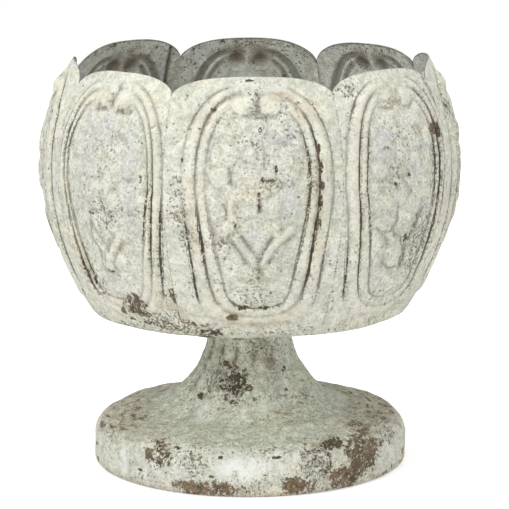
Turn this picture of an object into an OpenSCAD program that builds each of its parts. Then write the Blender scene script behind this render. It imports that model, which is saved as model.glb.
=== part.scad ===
// A cachepot on a foot, pressed from thin steel sheet: eight petals lapped and soldered into a
// scalloped bowl, a dished floor, a fluted stem and a hollow round base, drawn together by one bolt.
// Millimetres, +Z up. The origin is on the ground under the middle of the base, and -Y is the front.

/* [Bowl] */
// Radius of the plain sheet at the belly
belly_r = 113.2; // [104:0.1:124]
// Height of the belly above the ground
belly_z = 166; // [156:1:176]
// Radius of the plain sheet at the tips of the petals
tip_r = 94.5; // [84:0.5:104]
// Height of the tips of the petals above the ground
tip_z = 222.5; // [216:0.5:236]
// How far the tips stand above the notches between the petals
arch_h = 9.5; // [5:0.5:13]
// How far the rim stands up at the back, and down at the front, from its middle height
rim_slant = 1.1; // [0:0.1:3]
// How much further out the bowl's top leans on its right side
right_lean = 3.2; // [0:0.1:6]
// Radius of the wall where its heel bend begins
heel_r = 88; // [82:0.5:94]
// Height above the ground where the heel bend begins
heel_z = 88.5; // [84:0.5:92]
// Radius of the heel bend, at the middle of the sheet
heel_bend = 6; // [5:0.5:8]
// Width of the flange that each petal turns in under the floor
flange_w = 8; // [5:0.5:12]
// Height of the floor's rim, where it stands against the wall
floor_rim_h = 5; // [3:0.5:8]

/* [Pressed frame] */
// Half the width of the frame's groove, along the belly
groove_half_w = 32; // [26:0.5:33]
// Height of the frame's widest place above the ground
frame_z = 165; // [158:1:172]
// How far the top of the frame's groove lies below the petal's tip
frame_drop = 8; // [6:0.5:16]
// Height of the bottom of the frame's groove above the ground
groove_bottom_z = 98.5; // [96:0.5:106]
// Width of the large bead outside the groove
large_bead_w = 7; // [4:0.5:8]
// Height of the large bead
large_bead_h = 2.2; // [1:0.1:3]
// Width of the small bead inside the groove
small_bead_w = 4.8; // [3:0.2:6]
// Height of the small bead
small_bead_h = 1.3; // [0.5:0.1:2]
// How far the field inside the frame swells out
field_crown = 1.4; // [0:0.1:3]

/* [Sheet and seams] */
// Thickness of the sheet of the petals and the floor
sheet_t = 0.8; // [0.6:0.1:1]
// How far each petal laps behind the one beside it
lap_w = 7; // [4:0.5:9]
// Length over which the lap is set back
joggle_w = 1.2; // [1:0.1:2.5]
// Space for solder between lapped sheets
solder_gap = 0.25; // [0.2:0.05:0.4]
// Space between the edges of two petals that meet at a seam
seam_gap = 0.2; // [0.1:0.05:0.5]

/* [Stem] */
// Thickness of the sheet of the stem and the base
foot_t = 1; // [0.8:0.1:1.4]
// Radius of the stem where it spreads over the base
stem_foot_r = 55.5; // [48:0.5:58]
// Radius of the stem at its neck, at the middle of the sheet
neck_r = 21.6; // [17:0.2:28]
// Height of the neck above the ground
neck_z = 75; // [66:1:78]
// Radius of the stem's head under the floor
head_r = 22.5; // [20:0.5:32]
// Depth of the flutes
flute_depth = 1.1; // [0:0.1:1.6]

/* [Base] */
// Radius of the base
base_r = 86.3; // [78:0.1:96]
// Height of the base's flat crown, where the stem stands
base_h = 30.2; // [26:0.2:36]
// How far the base's flat crown reaches past the stem's foot
crown_margin = 2.5; // [1:0.5:6]
// Radius of the base's shoulder bend
shoulder_bend = 11.5; // [6:0.5:12]
// Fall of the base's top from the crown to the shoulder, in degrees
top_fall = 12.5; // [6:0.5:16]
// Radius of the bend at the base's lower edge
edge_bend = 2.5; // [1.5:0.1:4]
// Width of the flat ring that the base rests on
rest_w = 5; // [3:0.5:9]

/* [Bolt] */
// Diameter of the bolt
bolt_d = 6; // [5:0.5:8]
// Diameter of the bolt's low domed head
bolt_head_d = 15; // [13:0.5:18]
// Height of the bolt's head
bolt_head_h = 3; // [2:0.2:4]
// How far the bolt stands out under its nut
bolt_spare = 3; // [1:0.5:5]
// Diameter of the washers
washer_d = 24; // [20:0.5:30]
// Thickness of the washers
washer_t = 1.2; // [1:0.1:2]
// Width of the nut across its flats
nut_af = 10; // [9:0.5:13]
// Height of the nut
nut_h = 5; // [4:0.2:6.5]
// Radial clearance of the bolt in the sheets and the washers
hole_gap = 0.3; // [0.2:0.05:0.5]
// Radial clearance of the bolt in the nut
thread_gap = 0.05; // [0.02:0.01:0.1]

/* [Hidden] */
$fn = 96;

paint = [0.82, 0.81, 0.75];
stem_paint = [0.70, 0.71, 0.64];
steel = [0.55, 0.55, 0.54];

petals = 8;
// Points along each rounded bend of the floor and the base
bend_steps = 6;
// How far the hand-fitted seams stray from their even places, in degrees, from the front petal's
// left seam round to the right, and how far the notches over them and the petals' tips stray from
// their even heights
seam_stray = [0.2, 2.3, -0.2, 2.2, -0.3, 0.9, 5, 6.3];
notch_stray = [0, 0, 0, 0, -4, -1.1, -4, 0];
tip_stray = [0, 0, 0, -0.3, 0.7, 2.6, 0.4, 0];
// How far each petal's frame lies to the right of its middle, in degrees, and how much further its
// top and its foot swing that way
frame_stray = [1.1, -0.8, 0, 0.3, -0.2, -2, -1.2, 0.7];
top_swing = [0, 1.8, 0.5, -0.6, 0.3, 0.4, -0.5, -1.2];
foot_swing = [0.1, 2.4, -0.6, 0.8, 0.4, -0.5, 0.6, -2.4];

// How fast the wall draws in above and below the belly
draw_above = 2.1;
draw_below = 1.85;
// How square the petal's top edge is
arch_run = 2.8;
arch_rise = 1.8;
// How square the frame is: at its top, and at its foot along and down, and how it narrows
top_square = 3;
foot_square_run = 2;
foot_square_fall = 16;
foot_narrowing = 0.27;
foot_narrowing_rate = 1.2;
// How much less each ring narrows than the one inside it
foot_narrowing_step = 0.05;
// Outer bead: how much further it reaches than the groove at its top and bottom
bead_top_reach = 4.5;
bead_bottom_reach = 4.5;
// Bare sheet left between the outer bead and a seam, at the least
seam_margin = 1.6;

// Rings of the petal's net, from the middle of the field out to the petal's edge. Ring 3 is the
// field's edge, 4 the small bead, 5 the groove, 6 the large bead, 7 its outer line, 8 the edge.
rings = 8;
field_ring = 3;
groove_ring = 5;
// Heel rows below the net, and lap columns right of it
heel_rows = 3;
lap_cols = 2;

flutes = 16;
flute_steps = 4;
// Turn of the flutes round the stem
flute_turn = -7;
// How square the stem's flare is, and the rows of sheet along it
flare_square = 1.7;
flare_rows = 9;

function degrees_at(length, r) = length / r * 180 / PI;
function around(phi, r, z) = [r * sin(phi), -r * cos(phi), z];
function unit(v) = v / norm(v);
function left_of(v) = [-v.y, v.x];

// Radius of the wall's middle surface at a height, and its normal in the plane of the axis
function wall_r(z) = z >= belly_z
    ? belly_r - (belly_r - tip_r) * pow((z - belly_z) / (tip_z - belly_z), draw_above)
    : belly_r - (belly_r - heel_r) * pow((belly_z - z) / (belly_z - heel_z), draw_below);
function wall_slope(z) = z >= belly_z
    ? -(belly_r - tip_r) * draw_above * pow((z - belly_z) / (tip_z - belly_z), draw_above - 1)
      / (tip_z - belly_z)
    : (belly_r - heel_r) * draw_below * pow((belly_z - z) / (belly_z - heel_z), draw_below - 1)
      / (belly_z - heel_z);
function wall_normal(z) = unit([1, -wall_slope(z)]);
// The lean is greatest at the angle lean_phi and dies away over two lean_span on each side
lean_phi = 100;
lean_span = 32;
function leaning(phi, z) = z <= belly_z ? 0
    : right_lean * exp(-pow((phi - lean_phi) / lean_span, 2))
      * pow((z - belly_z) / (tip_z - belly_z), 2.5);

// The heel bend turns about heel_centre, from the wall's slope to level
heel_angle = atan((belly_r - heel_r) * draw_below / (belly_z - heel_z));
heel_centre = [heel_r - heel_bend * cos(heel_angle), heel_z + heel_bend * sin(heel_angle)];
function heel_dir(a) = [cos(a), -sin(a)];
function heel_point(a, bend) = heel_centre + bend * heel_dir(a);
flange_z = heel_centre.y - heel_bend;
flange_inner_r = heel_centre.x - flange_w;
bowl_bottom_z = flange_z - sheet_t / 2;

function seam(k) = (k - 0.5) * 360 / petals + seam_stray[(k + petals) % petals];
function notch_depth(k) = arch_h - notch_stray[(k + petals) % petals];
function tip_rise(k) = tip_stray[(k + petals) % petals];
function half_angle(k) = (seam(k + 1) - seam(k)) / 2;
function middle(k) = (seam(k + 1) + seam(k)) / 2;
// Height of petal k's top edge at the share p of its half width, at the angle phi
function rim_z(k, p, phi) = tip_z + tip_rise(k) - rim_slant * cos(phi)
    - (notch_depth(p < 0 ? k : k + 1) + tip_rise(k))
      * (1 - pow(1 - pow(min(1, abs(p)), arch_run), 1 / arch_rise));

// The frame's closed outline, for a place [p, q] on the edge of the square from -1 to 1:
// the share of its half width, and the share of its height above or below frame_z
top_corner = pow(0.5, 1 / top_square);
foot_corner_fall = 0.95;
foot_corner_run = pow(1 - pow(foot_corner_fall, foot_square_fall), 1 / foot_square_run);
function other(v, n, m) = pow(max(0, 1 - pow(v, n)), 1 / m);
function frame_top(p, q) = abs(p) >= q
    ? [other(q * top_corner, top_square, top_square), q * top_corner]
    : [abs(p) * top_corner, other(abs(p) * top_corner, top_square, top_square)];
function frame_foot_square(p, q) = abs(p) >= q
    ? [other(q * foot_corner_fall, foot_square_fall, foot_square_run), q * foot_corner_fall]
    : [abs(p) * foot_corner_run, other(abs(p) * foot_corner_run, foot_square_run, foot_square_fall)];
function narrowed(s, share) = [s.x * (1 - share * pow(s.y, foot_narrowing_rate)), -s.y];
function frame_share(p, q, k) = q >= 0 ? frame_top(p, q)
    : narrowed(frame_foot_square(p, -q),
               foot_narrowing + (groove_ring - max(k, field_ring)) * foot_narrowing_step);

// Half width in degrees, reach above and below frame_z, and height of the sheet, for each ring
groove_half = degrees_at(groove_half_w, belly_r);
large_bead = degrees_at(large_bead_w, belly_r);
small_bead = degrees_at(small_bead_w, belly_r);
margin = degrees_at(seam_margin, belly_r);
groove_down = frame_z - groove_bottom_z;
function field_size(up, share) =
    concat([groove_half - small_bead, up - small_bead_w, groove_down - small_bead_w] * share,
           [field_crown * (1 - share * share)]);
function ring_sizes(half, groove_up) =
    let (outer = min(groove_half + large_bead, half - margin))
    concat([for (n = [0:field_ring]) field_size(groove_up, n / field_ring)],
           [[groove_half - small_bead / 2, groove_up - small_bead_w / 2,
             groove_down - small_bead_w / 2, small_bead_h],
            [groove_half, groove_up, groove_down, 0],
            [(groove_half + outer) / 2, groove_up + bead_top_reach / 2,
             groove_down + bead_bottom_reach / 2, large_bead_h],
            [outer, groove_up + bead_top_reach, groove_down + bead_bottom_reach, 0]]);

// A place on the net of petal k inside its edge: [direction, height, relief]
function ring_place(k, i, j) =
    let (n = max(abs(i), abs(j)), up = tip_z - rim_slant * cos(middle(k)) - frame_drop - frame_z,
         s = ring_sizes(half_angle(k) - abs(frame_stray[k]), up)[n],
         f = n == 0 ? [0, 0] : frame_share(i / n, j / n, n),
         rise = f.y * (f.y >= 0 ? s[1] : s[2]),
         swing = f.y >= 0 ? top_swing[k] * pow(rise / up, 2)
                          : foot_swing[k] * pow(rise / groove_down, 2))
    [middle(k) + frame_stray[k] + swing + sign(i) * f.x * s[0], frame_z + rise, s[3]];
// A place on the petal's edge, whose side columns run from the heel to a top height
function side_z(j, top) = j >= 0 ? frame_z + (top - frame_z) * j / rings
                                 : frame_z + (frame_z - heel_z) * j / rings;
function edge_place(k, i, j) =
    let (p = i / rings, left = seam(k) + degrees_at(seam_gap, belly_r),
         right = seam(k + 1) - degrees_at(joggle_w, belly_r),
         phi = (left + right) / 2 + p * (right - left) / 2)
    [phi, abs(i) == rings ? side_z(j, rim_z(k, p, phi)) : j > 0 ? rim_z(k, p, phi) : heel_z, 0];
// A place on the lap, set back behind the petal on its right, whose top edge it follows
set_back = sheet_t + solder_gap;
function lap_place(k, i, j) =
    let (on = degrees_at((i - rings - 1) * lap_w, belly_r), phi = seam(k + 1) + on)
    [phi, side_z(j, rim_z(k + 1, on / half_angle(k + 1) - 1, phi) - solder_gap), -set_back];
function net_place(k, i, j) =
    i > rings ? lap_place(k, i, j)
    : max(abs(i), abs(j)) < rings ? ring_place(k, i, j)
    : edge_place(k, i, j);

// A point of the petal's sheet: relief is measured along the wall's normal
function wall_point(phi, z, h) =
    let (n = wall_normal(z))
    around(phi, wall_r(z) + leaning(phi, z) + h * n.x, z + h * n.y);
function heel_place(row, h) =
    row == 1 ? heel_point((heel_angle + 90) / 2, heel_bend + h)
    : row == 2 ? heel_point(90, heel_bend + h)
    : [flange_inner_r, flange_z - h];
function petal_point(k, i, j, side) =
    let (row = -rings - j, at = net_place(k, i, max(j, -rings)), h = at.z + side * sheet_t / 2)
    row > 0 ? let (q = heel_place(row, h)) around(at.x, q.x, q.y)
            : wall_point(at.x, at.y, h);

// A closed sheet from two nets of points, rows by columns, outer and inner, each cell split along
// its shorter diagonal. A round net joins its last column to its first.
function triangles(a, b, c, d, across = false) = across ? [[a, b, d], [b, c, d]]
                                                        : [[a, b, c], [a, c, d]];
module sheet(outer, inner, round_net = false) {
    rows = len(outer);
    cols = len(outer[0]);
    last = round_net ? cols - 1 : cols - 2;
    function at(r, c) = r * cols + c % cols;
    function in(r, c) = rows * cols + at(r, c);
    function point(r, c) = outer[r][c % cols];
    function across(r, c) = norm(point(r, c + 1) - point(r + 1, c))
                            < norm(point(r, c) - point(r + 1, c + 1));
    skins = [for (r = [0:rows - 2], c = [0:last]) each concat(
        triangles(at(r, c), at(r + 1, c), at(r + 1, c + 1), at(r, c + 1), across(r, c)),
        triangles(in(r, c), in(r, c + 1), in(r + 1, c + 1), in(r + 1, c), across(r, c)))];
    ends = [for (c = [0:last]) each concat(
        triangles(at(0, c), at(0, c + 1), in(0, c + 1), in(0, c)),
        triangles(at(rows - 1, c + 1), at(rows - 1, c), in(rows - 1, c), in(rows - 1, c + 1)))];
    sides = round_net ? [] : [for (r = [0:rows - 2]) each concat(
        triangles(at(r + 1, 0), at(r, 0), in(r, 0), in(r + 1, 0)),
        triangles(at(r, cols - 1), at(r + 1, cols - 1), in(r + 1, cols - 1), in(r, cols - 1)))];
    polyhedron(points = [for (row = concat(outer, inner)) each row],
               faces = concat(skins, ends, sides), convexity = 6);
}

// A line of points thickened into a strip of sheet, mitred at each point
function line_normals(line) = [for (i = [0:len(line) - 2]) left_of(unit(line[i + 1] - line[i]))];
function mitre(a, b) = (a + b) / (1 + a * b);
function mitres(line) =
    let (n = line_normals(line), m = len(n))
    [for (i = [0:m]) i == 0 ? n[0] : i == m ? n[m - 1] : mitre(n[i - 1], n[i])];
function beside(line, d) = let (m = mitres(line)) [for (i = [0:len(line) - 1]) line[i] + m[i] * d];
function reversed(list) = [for (i = [len(list) - 1:-1:0]) list[i]];
function strip(line, t) = concat(beside(line, t / 2), reversed(beside(line, -t / 2)));
function arc(centre, r, from, to) =
    [for (i = [0:bend_steps]) let (a = from + (to - from) * i / bend_steps)
        centre + r * [cos(a), sin(a)]];

// One pressed petal: scalloped top, framed field, flange at its heel and a lap behind the petal on
// its right
module petal(k) {
    net = [for (side = [1, -1]) [for (j = [-rings - heel_rows:rings])
        [for (i = [-rings:rings + lap_cols]) petal_point(k, i, j, side)]]];
    color(paint) sheet(net[0], net[1]);
}

// The floor: a dished disc that drops between the flanges and nests in the heel of the wall, on
// the laps. Its rim leans out with the wall.
hole_r = bolt_d / 2 + hole_gap;
floor_z = bowl_bottom_z + sheet_t / 2;
floor_bend = heel_bend - 2 * (sheet_t + solder_gap);
// Width of the slope that drops from the flanges to the floor
floor_drop_w = 2.2;
floor_rim_lean = atan(wall_slope(heel_z + floor_rim_h / 2));
module bowl_floor() {
    ledge_z = heel_centre.y - floor_bend;
    ledge_r = flange_inner_r - sheet_t;
    turn = (90 - heel_angle) / bend_steps;
    bend = [for (i = [0:bend_steps]) heel_point(90 - turn * i, floor_bend)];
    rim = bend[bend_steps] + floor_rim_h * [sin(floor_rim_lean), cos(floor_rim_lean)];
    line = concat([[hole_r, floor_z], [ledge_r - floor_drop_w, floor_z], [ledge_r, ledge_z]],
                  bend, [rim]);
    color(paint) rotate_extrude() polygon(strip(line, sheet_t));
}

// The stem: a fluted trumpet with a level head, holed for the bolt
stem_foot_z = base_h + foot_t / 2;
stem_head_z = bowl_bottom_z - foot_t / 2;
function flare(a) = [stem_foot_r - (stem_foot_r - neck_r) * pow(sin(a), 2 / flare_square),
                     neck_z - (neck_z - stem_foot_z) * pow(cos(a), 2 / flare_square)];
stem_line = concat([for (i = [0:flare_rows]) flare(90 * i / flare_rows)],
                   [[head_r, stem_head_z], [hole_r, stem_head_z]]);
// Flutes are full over the foot and fade out towards the neck
function flute_share(row) = row > flare_rows ? 0 : sin(90 * (1 - row / flare_rows));
function flute(row, step) = -flute_depth * flute_share(row) * (1 - abs(cos(180 * step / flute_steps)));
module stem() {
    steps = flutes * flute_steps;
    nets = [for (side = [-1, 1]) let (line = beside(stem_line, side * foot_t / 2))
        [for (row = [0:len(line) - 1]) [for (s = [0:steps - 1])
            around(flute_turn + 360 * s / steps, line[row].x + flute(row, s), line[row].y)]]];
    color(stem_paint) sheet(nets[0], nets[1], true);
}

// The base: a hollow pan, turned in at its lower edge into the flat ring that it rests on
module base() {
    crown_r = stem_foot_r + crown_margin;
    outer_r = base_r - foot_t / 2;
    edge_r = outer_r - edge_bend;
    bend_r = outer_r - shoulder_bend;
    top_z = base_h - foot_t / 2;
    turn = 90 - top_fall;
    bend_z = top_z - (bend_r + shoulder_bend * cos(turn) - crown_r) * tan(top_fall)
             - shoulder_bend * sin(turn);
    line = concat([[edge_r - rest_w, foot_t / 2]],
                  arc([edge_r, edge_bend + foot_t / 2], edge_bend, -90, 0),
                  arc([bend_r, bend_z], shoulder_bend, 0, turn),
                  [[crown_r, top_z], [hole_r, top_z]]);
    color(paint) rotate_extrude() polygon(strip(line, foot_t));
}

floor_top_z = floor_z + sheet_t / 2;
crown_under_z = base_h - foot_t;
module ring(r, hole, z, h) {
    difference() {
        translate([0, 0, z]) cylinder(r = r, h = h);
        translate([0, 0, z - 1]) cylinder(r = hole, h = h + 2);
    }
}
module washers() {
    color(steel) {
        ring(washer_d / 2, hole_r, floor_top_z, washer_t);
        ring(washer_d / 2, hole_r, crown_under_z - washer_t, washer_t);
    }
}
module clamp_bolt() {
    head_z = floor_top_z + washer_t;
    end_z = crown_under_z - washer_t - nut_h - bolt_spare;
    head_radius = bolt_head_d / 2;
    dome_r = (head_radius * head_radius + bolt_head_h * bolt_head_h) / (2 * bolt_head_h);
    color(steel) {
        translate([0, 0, end_z]) cylinder(d = bolt_d, h = head_z - end_z);
        intersection() {
            translate([0, 0, head_z + bolt_head_h - dome_r]) sphere(r = dome_r);
            translate([0, 0, head_z]) cylinder(d = bolt_head_d, h = bolt_head_h + 1);
        }
    }
}
module nut() {
    nut_z = crown_under_z - washer_t - nut_h;
    color(steel) difference() {
        translate([0, 0, nut_z]) cylinder(d = nut_af / cos(30), h = nut_h, $fn = 6);
        translate([0, 0, nut_z - 1]) cylinder(r = bolt_d / 2 + thread_gap, h = nut_h + 2);
    }
}

petal(0);  // petal_front
petal(1);  // petal_front_right
petal(2);  // petal_right
petal(3);  // petal_back_right
petal(4);  // petal_back
petal(5);  // petal_back_left
petal(6);  // petal_left
petal(7);  // petal_front_left
bowl_floor();
stem();
base();
clamp_bolt();
washers();
nut();
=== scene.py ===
import math

import bpy
import numpy as np
from mathutils import Matrix, Vector


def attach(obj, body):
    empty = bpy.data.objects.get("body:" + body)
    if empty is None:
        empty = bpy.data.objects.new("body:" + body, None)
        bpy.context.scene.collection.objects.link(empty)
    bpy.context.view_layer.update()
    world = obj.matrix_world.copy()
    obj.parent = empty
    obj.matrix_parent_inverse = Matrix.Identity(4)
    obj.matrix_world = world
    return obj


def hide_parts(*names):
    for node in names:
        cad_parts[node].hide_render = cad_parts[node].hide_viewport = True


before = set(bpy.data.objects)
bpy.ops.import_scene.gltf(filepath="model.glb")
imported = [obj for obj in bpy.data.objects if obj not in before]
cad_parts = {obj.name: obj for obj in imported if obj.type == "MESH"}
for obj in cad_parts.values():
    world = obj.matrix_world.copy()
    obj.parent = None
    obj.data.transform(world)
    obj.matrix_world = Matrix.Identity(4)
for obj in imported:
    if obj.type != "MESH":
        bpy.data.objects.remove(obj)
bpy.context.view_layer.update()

MM = 0.001

# Sizes of the bowl's pressed sheets, as in the part's own source: millimetres, and degrees for
# the lean and for how far the seams and frames stray and swing
BELLY_R, BELLY_Z = 113.2, 166.0
TIP_R, TIP_Z, ARCH_H, RIM_SLANT = 94.5, 222.5, 9.5, 1.1
RIGHT_LEAN, LEAN_PHI, LEAN_SPAN = 3.2, 100, 32
HEEL_R, HEEL_Z, HEEL_BEND, FLANGE_W = 88.0, 88.5, 6.0, 8.0
DRAW_ABOVE, DRAW_BELOW = 2.1, 1.85
ARCH_RUN, ARCH_RISE = 2.8, 1.8
SHEET_T, SOLDER_GAP, LAP_W = 0.8, 0.25, 7.0
PETALS = 8
SEAM_STRAY = [0.2, 2.3, -0.2, 2.2, -0.3, 0.9, 5.0, 6.3]
NOTCH_STRAY = [0, 0, 0, 0, -4, -1.1, -4, 0]
TIP_STRAY = [0, 0, 0, -0.3, 0.7, 2.6, 0.4, 0]
FRAME_STRAY = [1.1, -0.8, 0, 0.3, -0.2, -2.0, -1.2, 0.7]
TOP_SWING = [0, 1.8, 0.5, -0.6, 0.3, 0.4, -0.5, -1.2]
FOOT_SWING = [0.1, 2.4, -0.6, 0.8, 0.4, -0.5, 0.6, -2.4]
PETAL_NAMES = ["front", "front_right", "right", "back_right", "back", "back_left", "left",
               "front_left"]

# The pressed frame: half angle, reach above and below its widest place, and how it narrows
# towards its foot, for its outer line, its groove and its inner line
FRAME_Z = 165.0
OUTER_LINE = dict(half=19.8, up=52.5, down=71.0, narrowing=0.17, rate=2.0, fall=30)
GROOVE_LINE = dict(half=16.0, up=48.4, down=66.4, narrowing=0.25, rate=1.6, fall=16)
INNER_LINE = dict(half=13.4, up=43.8, down=61.2, narrowing=0.40, rate=1.5, fall=30)
TOP_SQUARE, FOOT_SQUARE_RUN = 3.0, 2.0
SEAM_MARGIN = 0.8
# Lower than the solids' own beads, as the photograph shows them
LARGE_BEAD_H, SMALL_BEAD_H = 1.5, 0.85
# How deep and how wide the groove, the inner line and the outer line are pressed
GROOVE_DEPTH, INNER_DEPTH, OUTER_DEPTH = 0.28, 0.16, 0.10
LINE_W, OUTER_LINE_W = 0.7, 0.9
# How high the flowers are pressed, from the front petal round by the right
FLOWER_H = [1.9, 1.7, 1.9, 1.9, 1.9, 1.9, 1.9, 1.45]
# The small bead is narrower on the front left petal: degrees that its inner line moves out
INNER_STRAY = [0, 0, 0, 0, 0, 0, 0, 1.1]
# How far each petal's field swells
FIELD_CROWN = [0.1, 0.2, 1.2, 0.5, 0.5, 0.5, -0.4, 0.2]
# The two scrolls at the frame's top, the cleft between them, and their height on each petal
KNOBS = ((-7.2, 208.0), (6.8, 208.2))
KNOB_HALF_W, KNOB_HALF_H = 6.4, 5.6
CLEFT_X, CLEFT_Z, CLEFT_DEPTH = 0.2, 207.5, 0.5
KNOB_H = [1.2, 1.1, 2.2, 1.2, 1.2, 1.2, 2.4, 1.2]
# Over the top, where the scrolls sit, the lines and beads die away between these heights, and
# come back between these distances to the side
OPEN_TOP_Z, OPEN_TOP_X = (194, 207), (8, 19)
# They are fainter round the foot: how far below the frame's middle, and how far to the side
FAINT_FOOT_Z, FAINT_FOOT_X = (57, 63), (12, 22)
# The furthest that the middles of the fields swell from the axis, and how softly they end there
REACH, RUB = 114.3, 0.3

# Sizes of the stem and the base, as in the part's own source
FOOT_T = 1.0
STEM_FOOT_R, NECK_R, NECK_Z, HEAD_R = 55.5, 21.6, 75.0, 22.5
FLARE_SQUARE, FLUTES, FLUTE_TURN = 1.7, 16, -7.0
FLUTE_DEPTH, FINE_FLUTE_DEPTH = 1.15, 0.40
BASE_R, BASE_H, CROWN_R, SHOULDER_BEND, TOP_FALL = 86.3, 30.2, 58.0, 11.5, 12.5
EDGE_BEND, REST_W, HOLE_R = 2.5, 5.0, 3.3
# A distance that stands for nowhere near a pressed line
FAR = 9.0

# The pressed spray: lobes by across, up, half width, half height, turn and height, and stalks by
# path, width and height. Across is measured from the frame's middle and up from the ground
LOBES = [
    (-16.5, 184.3, 7, 6, 10, 0.8), (-19, 173.9, 5.4, 5.6, 0, 1), (12.5, 178.8, 9, 10, 20, 0.9),
    (-6.5, 160.6, 6.8, 8.6, 12, 1.1), (7.9, 157.9, 5, 6, -20, 0.8), (-16.1, 147.7, 6.4, 3.8, 24, 1),
    (6.4, 125.8, 4.6, 5, 0, 0.8), (-4.4, 124, 4, 4.4, 0, 0.7), (19.5, 186.5, 5, 6, 0, 0.6),
    (-8.9, 199, 6, 4, 30, 0.5), (-3.6, 182, 2.8, 6, 4, 0.6), (10, 197, 6, 4, -30, 0.5),
    (16, 162, 5, 8, 10, 0.6), (-13, 164, 3, 6, 16, 0.7), (1.6, 110, 6, 3.6, 0, 0.4),
    (-13.4, 152.6, 3, 3.4, 0, 0.6)]
STALKS = [
    ([(-11.6, 143.6), (-6.8, 136), (-1.4, 129.4), (0.2, 121)], 4.2, 0.9),
    ([(1.2, 127.5), (5.6, 135.4), (10, 141), (16.5, 146.5)], 4.4, 0.9),
    ([(-12, 145), (-13.6, 156), (-13, 166)], 3, 0.6), ([(9, 141), (9.4, 150)], 3, 0.5)]
PETAL_LOBES = {
    "front_right": [(-13.5, 152.5, 7.6, 11.5, 4, 1.3), (-3.4, 129.6, 6.6, 10, -14, 1.3)],
    "front_left": [(8, 178, 7, 12, -10, 1), (12, 146, 8, 9, 0, 0.9)],
}
# Dark creases in the spray: path in millimetres from the petal's middle, width and strength
PETAL_CREASES = {
    "front": [
        ([(-10.4, 140.8), (-7, 135.5), (-4, 129.5)], 0.8, 0.7),
        ([(-5.5, 143), (-2, 137.7), (1.4, 132.2), (2.4, 128.9)], 0.8, 0.7),
        ([(2.4, 128.9), (4.9, 134.9), (6.8, 138.6), (9.3, 142.8)], 0.9, 0.9),
        ([(4, 126.1), (7.9, 131.5), (11.8, 136.9)], 0.7, 0.4),
        ([(2.4, 130), (2.5, 121)], 1.2, 0.95),
        ([(-15.3, 159.5), (-13.3, 156), (-13.8, 152.4)], 0.9, 0.8),
        ([(-9.9, 150.9), (-8.9, 147.2), (-10.4, 144.6)], 0.9, 0.7),
        ([(2.6, 164.6), (2.9, 156.5)], 1.2, 1), ([(-11.7, 177.2), (-11.7, 171.8)], 1.2, 0.7),
        ([(-8.4, 159.6), (-6.9, 156.1)], 1, 0.6),
        ([(-20.3, 145.4), (-16.9, 142.3), (-12.9, 139.8)], 0.8, 0.5),
        ([(2.4, 213), (2.8, 208.4), (2.7, 203.2)], 1.5, 0.7),
        ([(-14.3, 210.7), (-9.9, 212.6), (-6, 213.9)], 1.2, 0.6),
        ([(-1.6, 205.1), (1.3, 202.7), (5.2, 202.2)], 1.4, 0.7),
        ([(10.3, 176), (11.7, 172), (15.2, 169.9)], 1, 0.4), ([(5.4, 187), (5.4, 177)], 0.8, 0.6),
        ([(-6.8, 182.9), (-3.4, 180.6)], 0.9, 0.6), ([(-10.7, 188.6), (-6.8, 185.8)], 0.8, 0.3)],
    "front_left": [
        ([(1.8, 214.9), (2, 211.1), (1, 208.7), (-2.2, 207)], 1.6, 0.6),
        ([(-8.9, 205.5), (-5.2, 203.8), (-2.1, 203.6)], 1.3, 0.7),
        ([(6.1, 203.7), (10.4, 202.5), (13.9, 203.2)], 1.3, 0.8),
        ([(16.1, 170.6), (19.8, 168.8), (22.8, 170.1)], 0.8, 0.5),
        ([(0, 161.9), (1.6, 153.8), (6.6, 147.9)], 0.9, 0.7),
        ([(-7.5, 152.2), (2.1, 152.8)], 0.8, 0.6),
        ([(-9.1, 146.1), (-8.5, 137.6), (-6.3, 129.1), (-6, 122.4)], 0.8, 0.7),
        ([(2, 137.8), (-2.3, 129.6), (-3.9, 123.9)], 0.8, 0.5),
        ([(10.1, 135.5), (3.5, 125.9)], 0.8, 0.5),
        ([(-5.5, 120.3), (0.3, 120), (2.3, 118)], 1.3, 0.9),
        ([(20.1, 152.4), (24.5, 150.7)], 0.9, 0.5), ([(-0.4, 173.2), (0.9, 168.2)], 1, 0.4)],
    "front_right": [
        ([(-7.7, 156), (-5.8, 146.2), (-9.1, 142.4), (-14.3, 140.8), (-20.2, 143.6)], 0.8, 0.8),
        ([(-9.2, 139.7), (-2.5, 137.2), (2.4, 128.9), (1.9, 121.2), (-5.5, 120.6), (-9.9, 124)],
         0.8, 0.8),
        ([(9, 147.5), (7.8, 140.1), (3.4, 134.2), (3.8, 127.6), (4.3, 119.7)], 1.8, 1),
        ([(-15.7, 169.2), (-12.9, 164.8), (-8, 163.2)], 1, 0.6),
        ([(0.1, 169.6), (1.7, 168.4)], 1.4, 0.9), ([(-0.6, 164.5), (5.2, 157.5)], 1, 0.5),
        ([(-16.7, 184.4), (-12.1, 184)], 1, 0.6), ([(3.8, 211.5), (3.1, 205.7)], 1, 0.6),
        ([(-12.3, 207.9), (-6.5, 206), (-2.1, 206.1)], 1, 0.5),
        ([(33.6, 214.6), (36.4, 208), (39.2, 201)], 1.4, 0.95)],
}
# Where the pressed lines hold the most dirt: across, up, half width, half height, strength
PETAL_LINES = {
    "front": [
        (31, 158, 8, 60, 1.15), (-31, 126, 7, 38, 1.1), (-30, 180, 3, 18, 0.7),
        (0, 103, 20, 6, 0.5)],
    "front_left": [(-24, 125, 10, 38, 1.15), (31, 136, 8, 50, 1), (-28, 185, 8, 22, 0.5)],
    "front_right": [(-28, 145, 8, 60, 1.15), (32, 150, 9, 62, 1.1)],
}
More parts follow.
